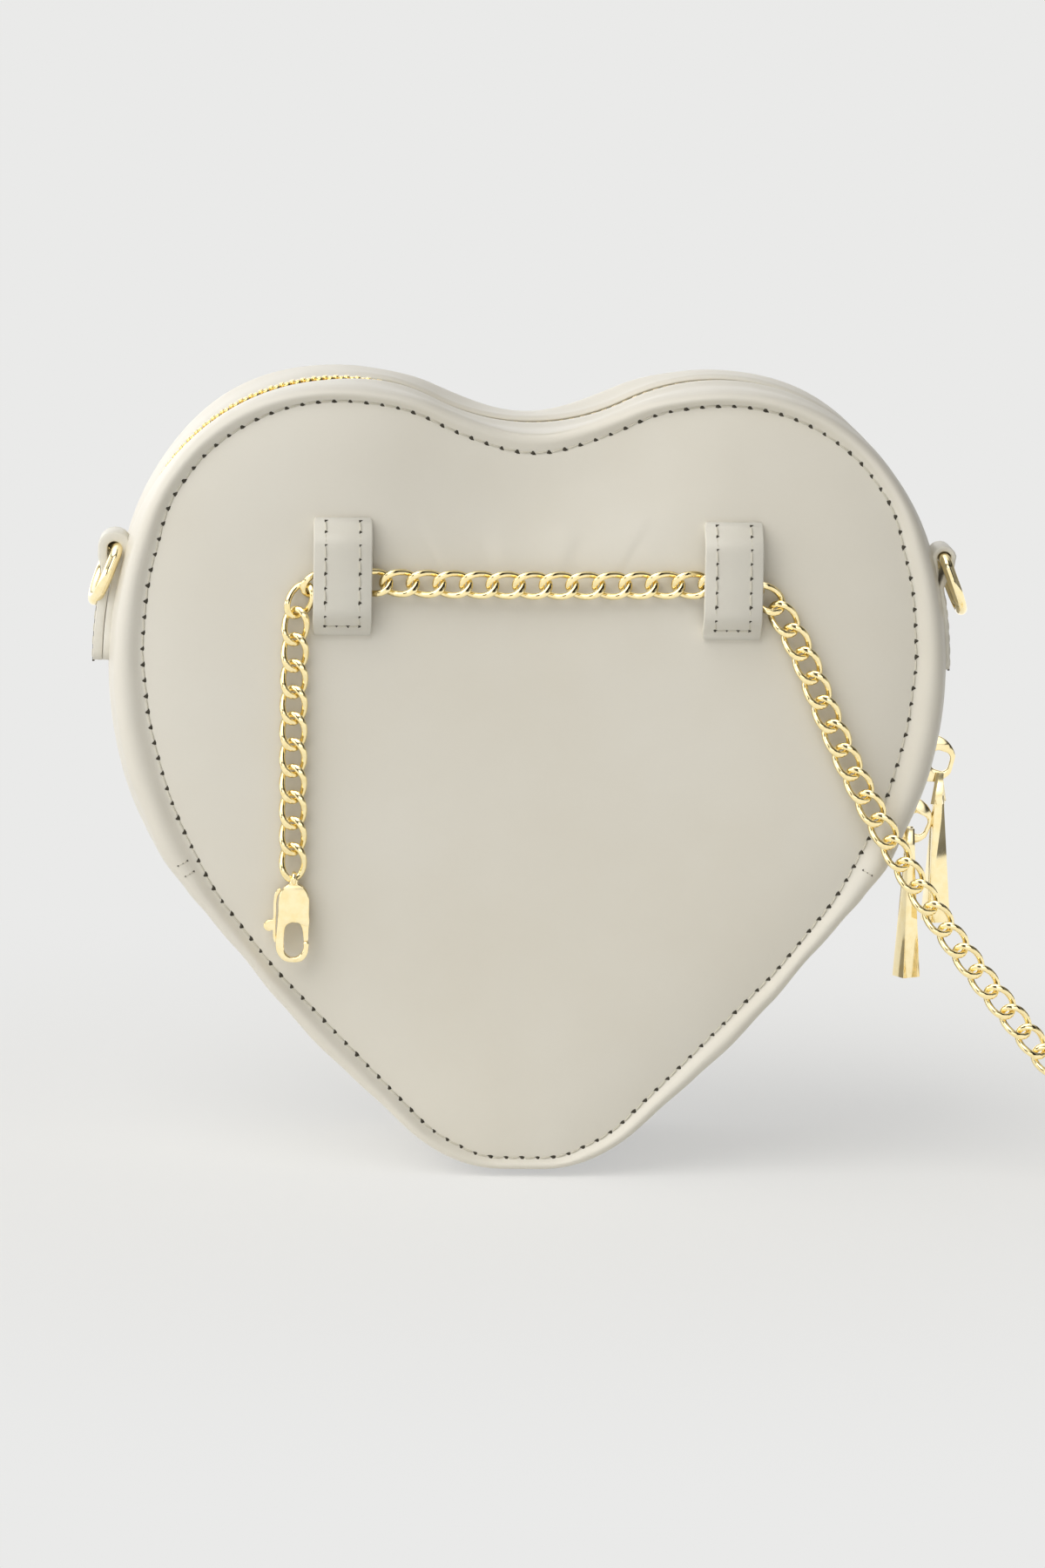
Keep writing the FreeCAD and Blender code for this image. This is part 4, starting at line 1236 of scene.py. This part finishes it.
def makeFloor(setup):
    # pale seamless paper: lit paper that takes the shadow under the bag, an even pale grey further off
    material, add, place = newMaterial("seamlessPaper")
    distance = add("VectorMath", {0: place}, operation="LENGTH")
    near = add("MapRange", {
        "Value": distance["Value"], "From Min": setup["near"], "From Max": setup["far"],
        "To Min": 1 - setup["shadow"], "To Max": 1.0,
    }, interpolation_type="SMOOTHSTEP")
    paper = add("BsdfDiffuse", {"Color": linearColour(setup["floor"])})
    path = add("LightPath")
    mirrored = path["Is Glossy Ray"]
    shine = add("MapRange", {"Value": mirrored, "To Min": 1.0, "To Max": setup["mirrored"]})
    grey = linearColour(setup["background"])
    even = add("Emission", {"Color": grey, "Strength": shine["Result"]})
    seen = add("Math", {0: path["Is Camera Ray"], 1: mirrored}, operation="MAXIMUM")
    share = add("Math", {0: seen["Value"], 1: near["Result"]}, operation="MULTIPLY")
    mix = add("MixShader", {0: share["Value"], 1: paper[0], 2: even[0]})
    add("OutputMaterial", {"Surface": mix[0]})
    reach, level = setup["reach"], setup["level"]
    corners = [(x * reach, y * reach, level) for x, y in ((-1, -1), (1, -1), (1, 1), (-1, 1))]
    makePiece("studio_floor", corners, [(0, 1, 2, 3)], material)


def makeLight(name, direction, strength, spread, colour):
    lamp = bpy.data.lights.new(name, "SUN")
    lamp.energy = strength
    lamp.angle = radians(spread)
    lamp.color = linearColour(colour)[:3]
    holder = bpy.data.objects.new(name, lamp)
    holder.rotation_mode = "QUATERNION"
    holder.rotation_quaternion = Vector(direction).to_track_quat("Z", "Y")
    scene.collection.objects.link(holder)
    return holder


# walls: place from the nadir to the zenith and brightness; screens: place away from the middle and brightness
lightSetup = {
    "key": ((-0.5, -0.6, 0.95), 1.38, 50, "#FFFDF8"),
    "fill": ((-1.0, -0.25, -0.08), 1.3, 80, "#FFFBF8"),
    "ambient": 0.42, "mirrored": 1.2,
    "walls": ((0, 0.8), (0.5, 0.9), (0.55, 2), (0.64, 2.2), (0.68, 0.4), (0.72, 0.35), (0.78, 1.1), (1, 1.8)),
    "screens": ((0, 1), (0.3, 1), (0.36, 0.05), (0.62, 0.05), (0.72, 1), (1, 1)),
    "screensFrom": (-0.25, -0.1),
    "right": 0.1, "rightFrom": (-0.3, 0.8),   # the studio is darker on the right
}


def greys(levels):
    return [(position, (bright, bright, bright, 1)) for position, bright in levels]


def makeWorld(setup):
    # a bright band above the horizon with a dark one over it, and dark screens by the camera for the metal
    world = bpy.data.worlds.new("studio")
    add = emptyNodes(world)
    split = add("SeparateXYZ", {"Vector": add("TexCoord")["Generated"]})
    height = add("MapRange", {"Value": split["Z"], "From Min": -1.0, "From Max": 1.0})
    wall = add("ValToRGB", {"Fac": height["Result"]}, greys(setup["walls"]))
    path = add("LightPath")
    mirrored = path["Is Glossy Ray"]
    level = add("MapRange", {"Value": mirrored, "To Min": setup["ambient"], "To Max": setup["mirrored"]})
    aside = add("Math", {0: split["X"]}, operation="ABSOLUTE")
    screens = add("ValToRGB", {"Fac": aside["Value"]}, greys(setup["screens"]))
    low, high = setup["screensFrom"]
    front = add(
        "MapRange",
        {"Value": split["Y"], "From Min": low, "From Max": high, "To Min": 1.0, "To Max": 0.0},
    )
    barred = add("Math", {0: front["Result"], 1: mirrored}, operation="MULTIPLY")
    dim = add("MapRange", {"Value": barred["Value"], "To Min": 1.0, "To Max": screens["Color"]})
    low, high = setup["rightFrom"]
    shade = add(
        "MapRange",
        {"Value": split["X"], "From Min": low, "From Max": high, "To Min": 1.0, "To Max": setup["right"]},
    )
    part = add("Math", {0: dim["Result"], 1: shade["Result"]}, operation="MULTIPLY")
    strength = add("Math", {0: level["Result"], 1: part["Value"]}, operation="MULTIPLY")
    lit = add("Background", {"Color": wall["Color"], "Strength": strength["Value"]})
    plain = add("Background", {"Color": linearColour(stageSetup["background"]), "Strength": 1.0})
    mix = add("MixShader", {0: path["Is Camera Ray"], 1: lit[0], 2: plain[0]})
    add("OutputWorld", {"Surface": mix[0]})
    scene.world = world


makeFloor(stageSetup)
makeLight("keyLight", *lightSetup["key"])
# the fill is for the leather only: the metal mirrors the screens instead of it
makeLight("fillLight", *lightSetup["fill"]).visible_glossy = False
makeWorld(lightSetup)
print("studio made")
